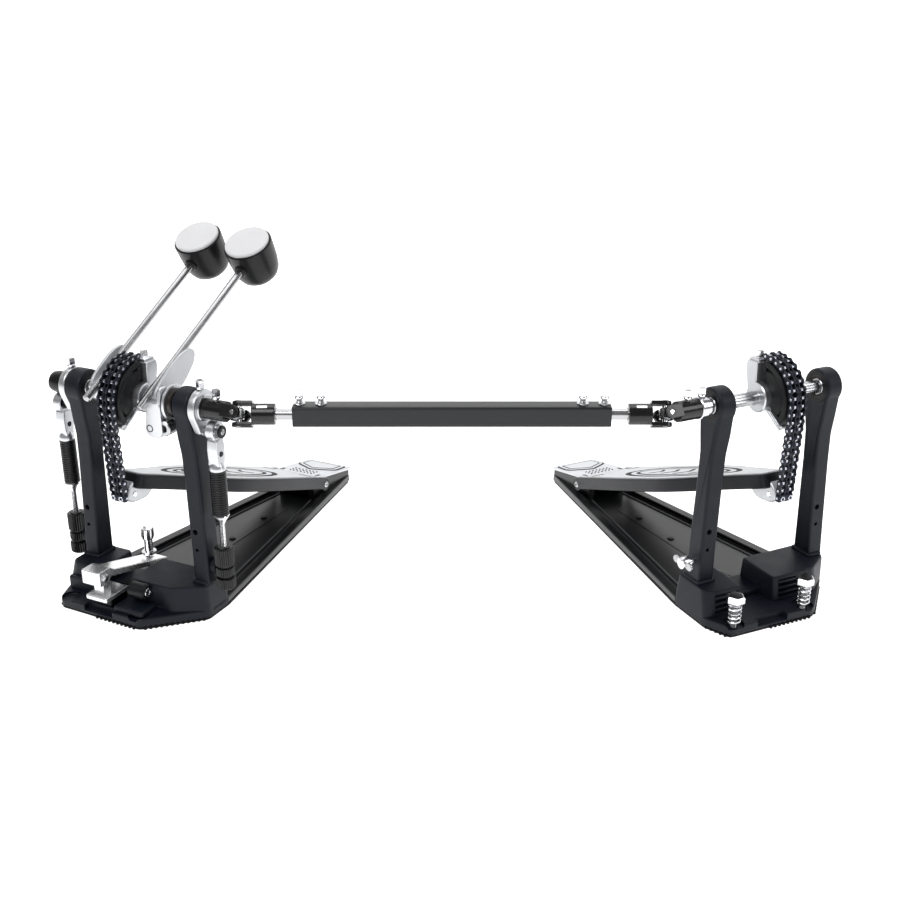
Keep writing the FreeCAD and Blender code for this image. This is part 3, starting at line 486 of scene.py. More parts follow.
def rubber_mat(hand):
    """Mat under the whole pedal, with teeth along its front edges."""
    margin = 0.8
    front = inset(CASTING, margin)
    heel = [(HEEL_HALF - margin, HEEL_Y - margin), (margin - HEEL_HALF, HEEL_Y - margin)]
    outline = front[:4] + heel + front[4:]
    sole = slab(rounded(outline, 2.5, 2), 0, 2.1)
    teeth = []
    for x1, y1, x2, y2 in ((27, -48, 63, -13), (-65, -25, -58, -46), (-20, -49, 22, -50)):
        count = int(math.hypot(x2 - x1, y2 - y1) / 4)
        for k in range(count):
            t = (k + 0.5) / count
            centre = (x1 + (x2 - x1) * t, y1 + (y2 - y1) * t, 0)
            teeth.append((rod(1.3, 0, 2.0, centre=centre, sides=10), RUBBER))
    piece(WORD[hand] + "_floor_mat", [(sole, RUBBER)] + teeth, PEDAL[hand], WORD[hand] + "_frame",
          [WORD[hand] + "_rubber_mat"])


def half_width(y):
    """Half width of the base plate, which flares from heel to front."""
    return HEEL_HALF + FLARE * (HEEL_Y - y)


def strip(y1, y2, offset, width):
    """Outline of a band that follows the right edge of the base plate."""
    return [(half_width(y1) - offset, y1), (half_width(y2) - offset, y2),
            (half_width(y2) - offset - width, y2), (half_width(y1) - offset - width, y1)]


def mirrored(outline):
    return [(-a, b) for a, b in reversed(outline)]


def base_plate(hand):
    """Flared tray with rails, lips and beads, rivets, the heel block and the hinge ears."""
    floor = rounded([(-HEEL_HALF, HEEL_Y), (-FRONT_HALF, 8), (FRONT_HALF, 8), (HEEL_HALF, HEEL_Y)], 2, 2)
    parts = [(slab(floor, 2, 4.5, edge=0.5), PLATE)]
    for flip in (False, True):
        rail = strip(14, HEEL_Y - 2, 0, 9)
        lip = strip(14, HEEL_Y - 40, 9.3, 1.6)
        # The beads are drawn in the lighter grey as painted highlight lines.
        bead = strip(22, HEEL_Y - 66, 15, 1.2)
        for outline, low, high, edge, paint in ((rail, 3, 8.2, 1.0, PLATE), (lip, 4, 5.4, 0.3, DARK_COAT),
                                                (bead, 4, 5.6, 0.4, PLATE_BEAD_SHEEN)):
            shape = mirrored(outline) if flip else outline
            parts.append((slab(rounded(shape, 0.5, 1), low, high, edge=edge), paint))
    well = [(-6, 30), (6, 30), (9, 190), (-9, 190)]
    parts.append((slab(rounded(well, 3), 4.3, 4.9, edge=0.2), PLATE))
    for y in (60, 110, 160):
        parts.append((lathe([(0, 6), (2.2, 6), (3.2, 5.2), (3.4, 4.4)], centre=(0, y, 0)), DARK_COAT))
    block = [(236, 4), (HEEL_Y - 1, 4), (HEEL_Y - 1, 13.2), (236, 22.2)]
    parts.append((slab(rounded(block, 1.2, 2), -HEEL_HALF + 0.5, HEEL_HALF - 0.5, "X", 0.8), PLATE))
    for side in (-1, 1):
        ear = [(PIN_Y - 5, 4), (240, 4), (240, PIN_Z)] + arc(PIN_Y, PIN_Z, 4.8, 30, 180, 10)
        parts.append((slab(ear, side * 17 - 3, side * 17 + 3, "X", 0.5), PLATE))
    name = WORD[hand]
    piece(name + "_plate", parts, PEDAL[hand], name + "_frame", [name + "_base_plate"])


def heel_plate(hand):
    """Bright cover over the heel block, with a plain chevron and rows of small studs."""
    length = 65
    place = PEDAL[hand] @ moved(0, HEEL_Y, 13.5) @ turned(-math.atan(0.2), "X")
    half = HEEL_HALF + 1.5
    sheet = rounded([(-half, 0), (half, 0), (half, -length), (-half, -length)], 3, 4)
    emblem = rounded([(-half + 3, -4), (half - 3, -4), (half - 2, -27), (0, -41), (2 - half, -27)], 5, 5)
    cover = [(slab(sheet, 0, 2.5, edge=0.7), HEEL)]
    relief = []
    for margin, low, high, edge, paint in ((0, 2.3, 2.75, 0.1, BOARD_PRINT), (1.7, 2.4, 3.3, 0.35, HEEL),
                                           (4.4, 3.1, 3.45, 0.1, BOARD_PRINT), (5.6, 3.2, 3.6, 0.15, HEEL)):
        relief.append((slab(inset(emblem, margin), low, high, edge=edge), paint))
    for row in range(3):
        for k in range(7):
            relief.append((lathe([(0, 3.0), (0.7, 3.0), (0.9, 2.4)], sides=12,
                                 centre=(-12 + 4 * k, -46 - 5 * row, 0)), DARK_COAT))
    slots = []
    for x in (-20, 20):
        slots.append(slab(rounded([(x - 2, -61), (x + 2, -61), (x + 2, -53), (x - 2, -53)], 1.5, 2), -1, 4))
    name = WORD[hand]
    piece(name + "_heel_cover", cover, place, name + "_frame", [name + "_heel_plate"], slots)
    piece(name + "_heel_emblem", relief, place, name + "_frame", ())


def casting(hand):
    """Nose pad with a block under each post; the blocks are open at the front, with ribs on the slave."""
    name = WORD[hand]
    place, body = PEDAL[hand], name + "_frame"
    pad = slab(rounded(CASTING, 5, 4), 2, 9, edge=1.2)
    notch = box((-31, -60, 4), (-2, -43, 30), 0.5)
    wells = [rod(8.5, 6.5, 20, centre=(x, SPUR_Y, 0)) for x in SPUR_X]
    pockets = ((-57, -35), (5, 34))
    left_low = [(-31, -28), (-31, 15.5), (-65, 15.5), (-66, -25), (-60, -28)]
    left_high = [(-31, -26), (-31, 14), (-64, 14), (-64.5, -20), (-58, -26)]
    right_low = [(0, -29), (42, -29), (65, -12), (65, 15.5), (0, 15.5)]
    right_high = [(0, -27), (41, -27), (64.2, -12.5), (64.2, 14), (0, 14)]
    blocks, cuts = [], []
    for low, high in ((left_low, left_high), (right_low, right_high)):
        low, high = rounded(low, 4, 4), rounded(high, 4, 4)
        crown = [(29.5, inset(high, 0.5)), (30, inset(high, 1.6))]
        blocks.append(loft([(6, low), (12, low), (28, high)] + crown))
    for x1, x2 in pockets:
        depth = -24.5 if hand < 0 else -27.4
        cuts.append(box((x1, -34, 11.5), (x2, depth, 27), 0.4))
    piece(name + "_nose_pad", [(pad, COAT)], place, body, [name + "_front_casting"],
          [notch] + wells, 0.5)
    for word, mesh, cutter in zip(("left", "right"), blocks, cuts):
        piece("%s_%s_block" % (name, word), [(mesh, COAT)], place, body, (), [cutter], 0.7)
    if hand > 0:
        ribs = [(box((-3, -46, 8), (26, -24, 13.5), 1.6), COAT),
                (box((-62, -31, 8), (-32, -24, 20), 1.6), COAT)]
    else:
        ribs = [(box((x1, -28, z), (x2, -24, z + 1.8), 0.4), COAT) for x1, x2 in pockets for z in RIB_LEVELS]
    bridge = box((-33, -12, 9), (2, 15.5, 13.5), 0.8)
    ribs.append((bridge, COAT))
    dome = lathe([(0, 14.6), (6, 14.1), (9, 12.4), (9.6, 9)], centre=(-15, 26, 0))
    ribs.append((dome, DARK_COAT))
    cap = [(1.2, 30.4), (2.4, 30.9), (3.4, 30.7), (3.6, 29.4)]
    for x, y in ((-58, 4), (52, -2)):
        ribs.append((lathe(cap, centre=(x, y, 0)), DARK_COAT))
    piece(name + "_block_ribs", ribs, place, body, ())


def post_centre(side):
    return side * POST_CENTRE + POST_SHIFT


def lean(side, z):
    """Sideways offset of a post at height z: the posts spread towards their feet."""
    return side * POST_SPREAD * min(max((150 - z) / 120, 0), 1)


def posts(hand):
    """Posts with drum-shaped heads and their bearings; side is +1 on the pedal's +x side."""
    column = [(9.2, 29), (8.6, 60), (7.8, 115), (8.2, 138), (10.6, 153)]
    column += arc(0, SHAFT_HEIGHT, HEAD_RADIUS, -32, 90, 14)
    outline = column + [(-y, z) for y, z in reversed(column[:-1])]
    parts, holes, trim = [], [], []
    for side in (-1, 1):
        x = post_centre(side)
        post = slab(outline, x - 7.3, x + 7.3, "X", 2.4, 4)
        for vertex in post.verts:
            vertex.co.x += lean(side, vertex.co.z)
        parts.append((post, COAT))
        holes.append(rod(9.5, x - 20, x + 20, "X", (0, 0, SHAFT_HEIGHT)))
        for z, size in ((74, 2.3), (58.6, 1.5)):
            holes.append(rod(size, -20, 20, "Y", (x + lean(side, z) - 1.5, 0, z)))
        x += lean(side, 30)
        trim.append((box((x - 8.6, -11, 28.5), (min(x + 8.6, 64), 11, 32.5), 1.6), COAT))
        if hand > 0:
            start, end = (x + 5, x + 16) if side > 0 else (x - 16, x - 5)
            trim.append((rod(2.9, start, end, "X", (0, 0, 44)), COAT))
            boss = (x + 6, x + 11) if side > 0 else (x - 11, x - 6)
            trim.append((rod(6.5, boss[0], boss[1], "X", (0, 0, 44), 1.2), COAT))
    name = WORD[hand]
    piece(name + "_post_pair", parts, PEDAL[hand], name + "_frame", [name + "_posts"], holes)
    piece(name + "_post_feet", trim, PEDAL[hand], name + "_frame", ())
    races = []
    for side in (-1, 1):
        x = post_centre(side)
        races.append((ring(7.9, 9.6, x - 7, x + 7, "X"), BRONZE))
        races.append((ring(5.06, 6.6, x - 7.2, x + 7.2, "X"), STEEL))
        races.append((ring(6.5, 8.0, x - 6.4, x + 6.4, "X", edge=0.2), DARK_COAT))
        races.append((ring(9.3, 12.6, x - 7.5, x - 6.8, "X", edge=0.2), DARK_COAT))
        races.append((ring(9.3, 12.6, x + 6.8, x + 7.5, "X", edge=0.2), DARK_COAT))
    piece(name + "_bearing_races", races, SHAFT[hand], name + "_frame", [name + "_bearings"])


def hinge_pin(hand):
    """Pin between the hinge ears, with a hexagonal socket in each end."""
    length = HEEL_HALF + 9.5
    name = WORD[hand]
    parts = [(rod(2.95, -length, length, "X", (0, PIN_Y, PIN_Z), 0.8), STEEL)]
    for side in (-1, 1):
        outer, inner = side * (length + 0.1), side * (length - 0.5)
        socket = lathe([(0, outer), (1.3, outer), (1.3, inner)], "X", (0, PIN_Y, PIN_Z), 6)
        parts.append((socket, DARK_COAT))
    piece(name + "_pin", parts, PEDAL[hand], name + "_frame", [name + "_hinge_pin"])


# ---- footboards ------------------------------------------------------------------------

# Distance from the hinge, and half width there.
BOARD_EDGE = [(-7, 31), (25, 32.5), (60, 34.6), (90, 36), (120, 36.6), (150, 36), (178, 31), (198, 25),
              (215, 20.5), (236, 16), (250, 14), (258, 12.5)]
TOE_REACH = 258
OVAL_SIZES = ((25.5, 80), (21.2, 73), (18.2, 66), (15.2, 61))


def edge_half(reach):
    """Half width of the footboard, smoothly through the points of BOARD_EDGE."""
    for i in range(len(BOARD_EDGE) - 1):
        (a, half_a), (b, half_b) = BOARD_EDGE[i], BOARD_EDGE[i + 1]
        if reach <= b:
            before = BOARD_EDGE[max(i - 1, 0)]
            after = BOARD_EDGE[min(i + 2, len(BOARD_EDGE) - 1)]
            slope_a = (half_b - before[1]) / (b - before[0]) * (b - a)
            slope_b = (after[1] - half_a) / (after[0] - a) * (b - a)
            t = (reach - a) / (b - a)
            return ((2 * t ** 3 - 3 * t ** 2 + 1) * half_a + (t ** 3 - 2 * t ** 2 + t) * slope_a
                    + (3 * t ** 2 - 2 * t ** 3) * half_b + (t ** 3 - t ** 2) * slope_b)
    return BOARD_EDGE[-1][1]


def board_shape(first, last, margin=0.0, corner=4.0):
    """Outline of the footboard between two distances from the hinge, with rounded corners."""
    count = 40
    reaches = [first + (last - first) * k / count for k in range(count + 1)]
    right = [(edge_half(r) - margin, -r) for r in reaches]
    outline = right + [(-x, y) for x, y in reversed(right)]
    corners = {0, count, count + 1, len(outline) - 1}
    result = []
    for i, point in enumerate(outline):
        if i in corners:
            before, after = Vector(outline[i - 1]), Vector(outline[(i + 1) % len(outline)])
            here = Vector(point)
            start = here + (before - here).normalized() * min(corner, (before - here).length * 0.9)
            end = here + (after - here).normalized() * min(corner, (after - here).length * 0.45)
            for k in range(6):
                t = k / 5
                result.append(tuple(start * (1 - t) ** 2 + here * 2 * t * (1 - t) + end * t ** 2))
        else:
            result.append(point)
    return result


def footboard(hand):
    """Hollow footboard with its printed cover, hinge trim and chain link block."""
    top, drop, skin = 6.5, 5, 3
    name = WORD[hand]
    place, body = BOARD[hand], name + "_board"
    shell = slab(board_shape(-6, TOE_REACH - 0.5), -drop, top, edge=1.6, steps=4)
    hollow = slab(board_shape(-12, TOE_REACH - 3, 2.6), -drop - 4, top - skin)
    opening = box((-HEEL_HALF - 4, -12, -20), (HEEL_HALF + 4, 20, 20), 1.0)
    piece(name + "_board_shell", [(shell, BOARD_SIDE)], place, body, [name + "_footboard"],
          [hollow, opening])

    cover = slab(board_shape(13, TOE_REACH - 3, 2.2, 3), top - 0.2, top + 0.45, edge=0.4)
    piece(name + "_board_cover", [(cover, BOARD_TOP)], place, body, ())

    prints = []
    for level, (across, along) in enumerate(OVAL_SIZES):
        oval = [(across * math.cos(a) * (1 - 0.18 * math.sin(a)), -132 - along * math.sin(a))
                for a in (2 * math.pi * k / 64 for k in range(64))]
        paint = BOARD_TOP if level % 2 else BOARD_PRINT
        prints.append((slab(oval, top + 0.3, top + 0.52 + 0.05 * level), paint))
    for k in range(5):
        y = -90 - 21 * k
        half = 12 - abs(k - 2) * 1.8
        bar = rounded([(-half, y), (0, y - 9), (half, y), (half, y - 5), (0, y - 14), (-half, y - 5)], 2, 3)
        prints.append((slab(bar, top + 0.5, top + 0.75), BOARD_PRINT))
    for side in (-1, 1):
        slot = rounded([(side * 14, -21), (side * 27, -21), (side * 27, -25.5), (side * 14, -25.5)], 1.5, 3)
        prints.append((slab(slot, top + 0.3, top + 0.56), DARK_COAT))
    for reach, margin, height, paint in ((13.6, 2.9, 0.47, BOARD_PRINT), (14.6, 3.9, 0.5, BOARD_TOP)):
        border = board_shape(reach, TOE_REACH + 10 - reach, margin, 3)
        prints.append((slab(border, top + 0.2, top + height), paint))
    piece(name + "_board_print", prints, place, body, ())

    parts = []
    for side in (-1, 1):
        x = side * (HEEL_HALF + 7.2)
        parts.append((ring(3.1, 6.2, x - 1.2, x + 1.2, "X"), BOARD_SIDE))
    tab_x = -hand * 15.5
    parts.append((box((tab_x - 3.5, -TOE_REACH + 1, -4), (tab_x + 3.5, -TOE_REACH + 10, 6), 1.0), DARK_COAT))
    piece(name + "_board_trim", parts, place, body, ())

    side_view = [(30, top - skin), (3, top - skin), (-3.4, -drop - 1), (-3.4, -drop - 11), (6, -drop - 12),
                 (22, -drop - 7)]
    side_view = rounded([(y - TOE_REACH, z) for y, z in side_view], 5, 5)
    link = [(slab(side_view, -7.5, 7.5, "X", 1.6), HEEL)]
    for low, high in ((-8, -6.8), (6.8, 8)):
        link.append((rod(2.4, low, high, "X", (0, -TOE_REACH + 4, -drop - 5)), CHROME))
    piece(name + "_chain_link_block", link, place, body, [name + "_chain_connector"])


# ---- cams, chains and shafts -------------------------------------------------------------

CAM_RADIUS, PITCH = 28.8, 6.35
CHAIN_FOOT = (-28.0, -75.5)
CHAIN_ROWS = (-3.75, 3.75)
JOURNAL, HEX_FLATS = 4.95, 9.4


def polar(radius, angle):
    return (radius * math.cos(math.radians(angle)), radius * math.sin(math.radians(angle)))


def sector(inner, outer, first, last):
    """Outline of a ring's sector between two angles in degrees."""
    return arc(0, 0, outer, first, last, 24) + arc(0, 0, inner, last, first, 16)


def span(side, near, far, shift=0):
    """The two ends of a stretch along x, in rising order, on one side of the middle."""
    return sorted((side * near + shift, side * far + shift))


def key_bolt(x, y, seat, shown, turn=0.4):
    """Square-headed key bolt with a collar and a threaded stem."""
    top, centre = seat + shown, (x, y, 0)
    stem = [(2.0, seat)] + thread(2.4, 2.0, seat + 0.2, top, 0.9) + [(2.0, top)]
    collar = [(2.2, top - 1.6), (3.5, top - 1.4), (3.6, top - 0.6), (3.2, top), (2.2, top + 0.1)]
    return [(lathe(stem, centre=centre, sides=20), STEEL), (lathe(collar, centre=centre, sides=28), CHROME),
            (prism(4, 4.6, top, top + 5.5, centre=centre, turn=turn), CHROME)]


def cam(hand):
    """Sector cam and the cast bracket that ties it to the shaft."""
    name = WORD[hand]
    corners = [(12.2, 92), (22.5, 95), (24.5, 118), (24.5, 150), (24.5, 184), (22.5, 207), (12.2, 210),
               (12.0, 180), (12.0, 150), (12.0, 120)]
    web = slab(rounded([polar(radius, angle) for radius, angle in corners], 2, 3), -8.6, 8.6, "X", 1.5)
    rim = slab(rounded(sector(CAM_RADIUS - 4.4, CAM_RADIUS, 88, 214), 0.5, 1), -9, 9, "X", 0.8)
    plate = slab(rounded(sector(12.0, CAM_RADIUS - 1, 89, 213), 0.5, 1), -7, 7, "X", 0.8)
    ends = []
    for edge, turn in ((89, 1), (213, -1)):
        end = [polar(14, edge), polar(26, edge), polar(26, edge + turn * 8), polar(14, edge + turn * 12)]
        ends.append(slab(rounded(end, 0.4, 1), -9, 9, "X", 0.5))
    parts = [(mesh, DARK_COAT) for mesh in [web, rim, plate] + ends]
    piece(name + "_cam_sector", parts, SHAFT[hand], name + "_axle", [name + "_cam"])

    half = [(5.0, 12), (11.0, 12), (11.8, 11.2), (11.8, 4), (10.8, 3.4)]
    barrel = [(r, 2 * hand - h) for r, h in half] + [(r, 2 * hand + h) for r, h in reversed(half)]
    arm = rounded([(1.8, 8), (11, 3), (15.5, 22), (14, 27.4), (2.5, 27.4)], 1.5, 4)
    seat = rounded([(3.2, 26), (14.5, 26), (13.8, 29.4), (3.2, 29.4)], 0.8, 3)
    foot = rounded([polar(11, 215), polar(30.5, 214.5), polar(30.5, 226), polar(11, 240)], 2.5, 4)
    rib = rounded([polar(11, 222), polar(27, 219), polar(27, 223), polar(11, 236)], 1.5, 3)
    parts = [(lathe(barrel, "X"), SILVER), (slab(arm, *span(hand, -7.5, 13.5), "X", 0.8), SILVER),
             (slab(seat, *span(hand, 0, 11.5), "X", 0.6), SILVER), (slab(foot, -7, 7, "X", 1.2), SILVER),
             (slab(rib, -8.6, 8.6, "X", 0.8), SILVER)]
    piece(name + "_cam_bracket", parts, SHAFT[hand], name + "_axle", [name + "_cam_carrier"])


def chain_path():
    """Pin centres of the chain: along the cam's rim, then straight to the foot."""
    radius = CAM_RADIUS + 3
    foot = Vector(CHAIN_FOOT)
    spread = math.acos(radius / foot.length)
    leave = math.atan2(foot.y, foot.x) % (2 * math.pi) - spread
    tangent = Vector((radius * math.cos(leave), radius * math.sin(leave)))
    straight = (foot - tangent).length
    centres = []
    distance = 0.0
    first = math.radians(82)
    while distance <= straight + (leave - first) * radius:
        if distance <= straight:
            centres.append(foot.lerp(tangent, distance / straight))
        else:
            angle = leave - (distance - straight) / radius
            centres.append(Vector((radius * math.cos(angle), radius * math.sin(angle))))
        distance += PITCH
    return [tuple(centre) for centre in reversed(centres)]


def link_plate(a, b, thick, x, radius=2.75, waist=1.9):
    """Figure-eight chain plate between two pins in the side view."""
    (ya, za), (yb, zb) = a, b
    heading = math.atan2(zb - za, yb - ya)
    length = math.hypot(zb - za, yb - ya)
    local = arc(0, 0, radius, 50, 310, 9) + [(length * 0.5, -waist)] + arc(length, 0, radius, 230, 490, 9)
    local += [(length * 0.5, waist)]
    c, s = math.cos(heading), math.sin(heading)
    outline = [(ya + u * c - v * s, za + u * s + v * c) for u, v in local]
    return slab(outline, x - thick / 2, x + thick / 2, "X", 0.18, 1)


def chain(hand):
    """Double roller chain as one piece, from the shaft to the hanging end."""
    name = WORD[hand]
    centres = chain_path()
    pins = len(centres) - 1
    parts = []
    for k, (y, z) in enumerate(centres):
        last = k == pins
        parts.append((rod(1.15, -7.4, 7.4, "X", (0, y, z), 0.25, 14), RIVET_AND_GLEAM))
        for row in CHAIN_ROWS:
            # The rollers take the bright steel as a painted highlight between the dark plates; the last pin's
            # rollers stay dark.
            roller = rod(1.6, row - 1.5, row + 1.5, "X", (0, y, z), 0.25, 16)
            parts.append((roller, CHAIN if last else RIVET_AND_GLEAM))
            if last:
                parts.append((ring(1.2, 2.1, y - 3.4, y - 2.6, "Y", (row, 0, z), 0.15, 20), RIVET_AND_GLEAM))
    for k in range(pins):
        offset = 2.0 if k % 2 else 2.95
        for row in CHAIN_ROWS:
            for side in (-1, 1):
                parts.append((link_plate(centres[k], centres[k + 1], 0.9, row + side * offset), CHAIN))
    foot_y, foot_z = centres[-1]
    parts.append((box((-7.2, foot_y - 2.6, foot_z - 3), (7.2, foot_y + 2.4, foot_z + 3), 1.0), CHAIN))
    thing = to_object(name + "_double_chain", parts)
    settle(thing, SHAFT[hand], 35)
    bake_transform(thing)
    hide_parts(name + "_chain_wrap", name + "_chain_run")


def shafts():
    """Main, inner and slave shafts: round at the bearings and hexagonal between them."""
    near, far = POST_CENTRE - POST_SKIN, POST_CENTRE + POST_SKIN
    seat = JOINT_REACH - 14
    parts = [(rod(JOURNAL, POST_SHIFT - far - 6, 14, "X"), STEEL), (rod(2.45, 13.5, 29.5, "X"), STEEL),
             (prism(6, HEX_FLATS, -21, -10.5, "X"), STEEL), (prism(6, HEX_FLATS, -42.2, -36.2, "X"), STEEL)]
    knob = [(0, -82), (5, -81.6), (8.0, -79.5), (9.0, -75), (9.0, -66.5), (8.2, -64.6), (4, -64.4)]
    parts.append((lathe(knob, "X"), GLOSS_BLACK))
    piece("main_shaft_bar", parts, SHAFT[1], "main_axle", ["main_shaft"])
    parts = [(rod(JOURNAL, 15.6, seat, "X"), STEEL), (prism(6, HEX_FLATS, 37, near + 1.4, "X"), STEEL)]
    piece("inner_shaft_bar", parts, SHAFT[1], "inner_axle", ["inner_shaft"])
    parts = [(rod(JOURNAL, -seat, far + POST_SHIFT, "X"), STEEL),
             (prism(6, HEX_FLATS, 11.0, near + 2, "X"), STEEL),
             (prism(6, HEX_FLATS, POST_SHIFT - near, -14.5, "X"), STEEL)]
    piece("slave_shaft_bar", parts, SHAFT[-1], "slave_axle", ["slave_shaft"])


def key_bolts():
    """Square-headed bolts that lock the cams, cranks and yokes to the shafts."""
    crank = POST_CENTRE + 10.6
    outer = key_bolt(6, 9, 20, 9.5) + key_bolt(POST_SHIFT - crank, 0, 8, 8.5)
    piece("main_keys", outer, SHAFT[1], "main_axle", ["main_key_bolts"])
    inner = key_bolt(crank + POST_SHIFT, 0, 8, 8.5) + key_bolt(79, 0, 5, 6)
    piece("inner_keys", inner, SHAFT[1], "inner_axle", ["inner_key_bolts"])
    slave = key_bolt(-6, 9, 20, 9.5) + key_bolt(-66, 0, 5, 6) + key_bolt(-79, 0, 5, 6)
    piece("slave_keys", slave, SHAFT[-1], "slave_axle", ["slave_key_bolts"])


# ---- beaters -----------------------------------------------------------------------------

OUTER_X, INNER_X, ROD_OFFSET = -28.5, 22.5, 9.5
HEAD_ALONG = 160
LEAF_EDGE = [(-14, -6), (-17, 8), (-18, 26), (-17, 40), (-12, 51.5), (-5, 54), (2, 48), (7, 32), (9, 10),
             (3, -11)]


def holder(name, rod_x, side, body, leaf_length, ends, reach):
    """Hub on the shaft with a socket for the rod, and a leaf-shaped plate beside it."""
    place = beater_frame(rod_x)
    edge = [(0.86 * y, leaf_length * z) for y, z in LEAF_EDGE]
    leaf = slab(rounded(edge, 8, 6), side * 5.6 - 1.4, side * 5.6 + 1.4, "X", 0.8)
    piece(name + "_leaf", [(leaf, LEAF)], place, body, (), [rod(4.9, -40, 40, "X")], smooth=40)
    nose = -ROD_OFFSET - reach
    clamp = rounded([(nose, -7), (3, -9.5), (8.5, -5), (8.5, 5), (3, 9.5), (nose, 7)], 3, 4)
    block = slab(clamp, ends[0], ends[1], "X", 1.2)
    piece(name + "_holder", [(block, SILVER)], place, body, [name + "_beater_holder"],
          [rod(4.9, -40, 40, "X")])


def inner_bracket(body):
    """Upright bracket at the front of the inner holder, with its clamp screw and flange."""
    face = rounded([(20.6, -21), (24, -25.5), (34.5, -25.5), (37, -21), (36.4, 3), (24.5, 3)], 3, 5)
    plate = slab(face, -15, -9.5, "Y", 0.9)
    side_edge = rounded([(-14.5, -24), (-4, -21), (-2, 0), (-3, 14), (-12, 14), (-14.5, 2)], 2.5, 4)
    side_wall = slab(side_edge, 33.2, 36.4, "X", 0.8)
    screw_profile = [(0, -14.6), (1.6, -14.6), (2.3, -15.1), (3.0, -15.2), (3.1, -14.4)]
    screw = lathe(screw_profile, "Y", (25.6, 0, -18.5), 28)
    flange = ring(5.05, 14.6, 37.2, 39.6, "X", edge=0.8)
    washer = ring(5.05, 11.6, 39.8, 43.8, "X", edge=0.8)
    boss_profile = [(3.0, -9), (3.2, -13.4), (5.6, -13.6), (6.2, -13.0), (6.2, -4), (5, -3)]
    boss_centre = (37.4, 0, -17.5)
    boss = lathe(boss_profile, "Y", boss_centre, 32)
    socket = lathe([(0, -10.5), (2.9, -10.5), (3.1, -9.5)], "Y", boss_centre, 6)
    parts = [(plate, SILVER), (side_wall, SILVER), (screw, DARK_COAT), (flange, SILVER), (washer, BRONZE),
             (boss, STEEL), (socket, DARK_COAT)]
    piece("inner_bracket", parts, SHAFT[1], body, ())


def beater(name, rod_x):
    """Rod with a black head and its white face."""
    place = beater_frame(rod_x)
    body = name + "_beater"
    rod_centre, head_centre = (0, -ROD_OFFSET, 0), (0, 0, HEAD_ALONG)
    bar_profile = [(0, -20), (2.2, -20), (3.15, -19.2), (3.15, 157), (2.4, 158)]
    bar = lathe(bar_profile, centre=rod_centre, sides=36)
    piece(name + "_rod", [(bar, ROD)], place, body, [name + "_beater_rod"])
    profile = [(0, 14.4), (7, 14.1), (12, 12.8), (16, 9.6), (18.4, 4.6), (19.6, -3), (20.2, -12),
               (20.5, -20.5), (20.5, -22.2), (19.9, -22.9), (19.1, -22.6), (0, -22.6)]
    head = lathe(profile, "Y", head_centre, 72)
    collar = lathe([(4.6, 138), (5.4, 139), (5.6, 146), (5.2, 150)], centre=rod_centre, sides=32)
    parts = [(head, GLOSS_BLACK), (collar, GLOSS_BLACK)]
    piece(name + "_head", parts, place, body, [name + "_beater_body"])
    disc_profile = [(0, -22), (18.6, -22), (18.8, -22.8), (18.8, -24.6), (18.2, -25.5), (17, -25.9),
                    (0, -25.9)]
    disc = lathe(disc_profile, "Y", head_centre, 72)
    piece(name + "_disc", [(disc, WHITE_FACE)], place, body, [name + "_beater_face"])


# ---- return springs ------------------------------------------------------------------------

CRANK_DROP, SPRING_X = 17, 75


def crank(name, side, body):
    """Spring crank outside a post: a round plate with a pin below the shaft."""
    face = POST_CENTRE + POST_SKIN
    pin = (0, 0, -CRANK_DROP)
    outline = arc(0, 0, 14.5, -25, 205, 28) + [(-7.5, -19)]
    outline += arc(0, -CRANK_DROP, 5.6, 200, 340, 10) + [(7.5, -19)]
    low, high = span(side, face + 19, face + 21, POST_SHIFT)
    parts = [(slab(outline, *span(side, face, face + 6, POST_SHIFT), "X", 1.2), SILVER),
             (rod(2.2, *span(side, face + 4, face + 21, POST_SHIFT), "X", pin), CHROME),
             (ring(5.1, 10.5, *span(side, face + 6, face + 7.6, POST_SHIFT), "X"), CHROME),
             (rod(5.0, low, high, "X", pin), DARK_COAT), (rod(2.3, low - 0.4, high + 0.4, "X", pin), STEEL)]
    piece(name + "_crank_plate", parts, SHAFT[1], body, [name + "_spring_crank"])


def knurl(x, low, high, radius, teeth=26):
    """Ribbed nut around a vertical rod at x."""
    outline = []
    for k in range(teeth * 2):
        angle = math.pi * k / teeth
        r = radius if k % 2 else radius - 0.7
        outline.append((x + r * math.cos(angle), r * math.sin(angle)))
    small = [(x + (px - x) * 0.93, py * 0.93) for px, py in outline]
    return loft([(low, small), (low + 0.8, outline), (high - 0.8, outline), (high, small)])


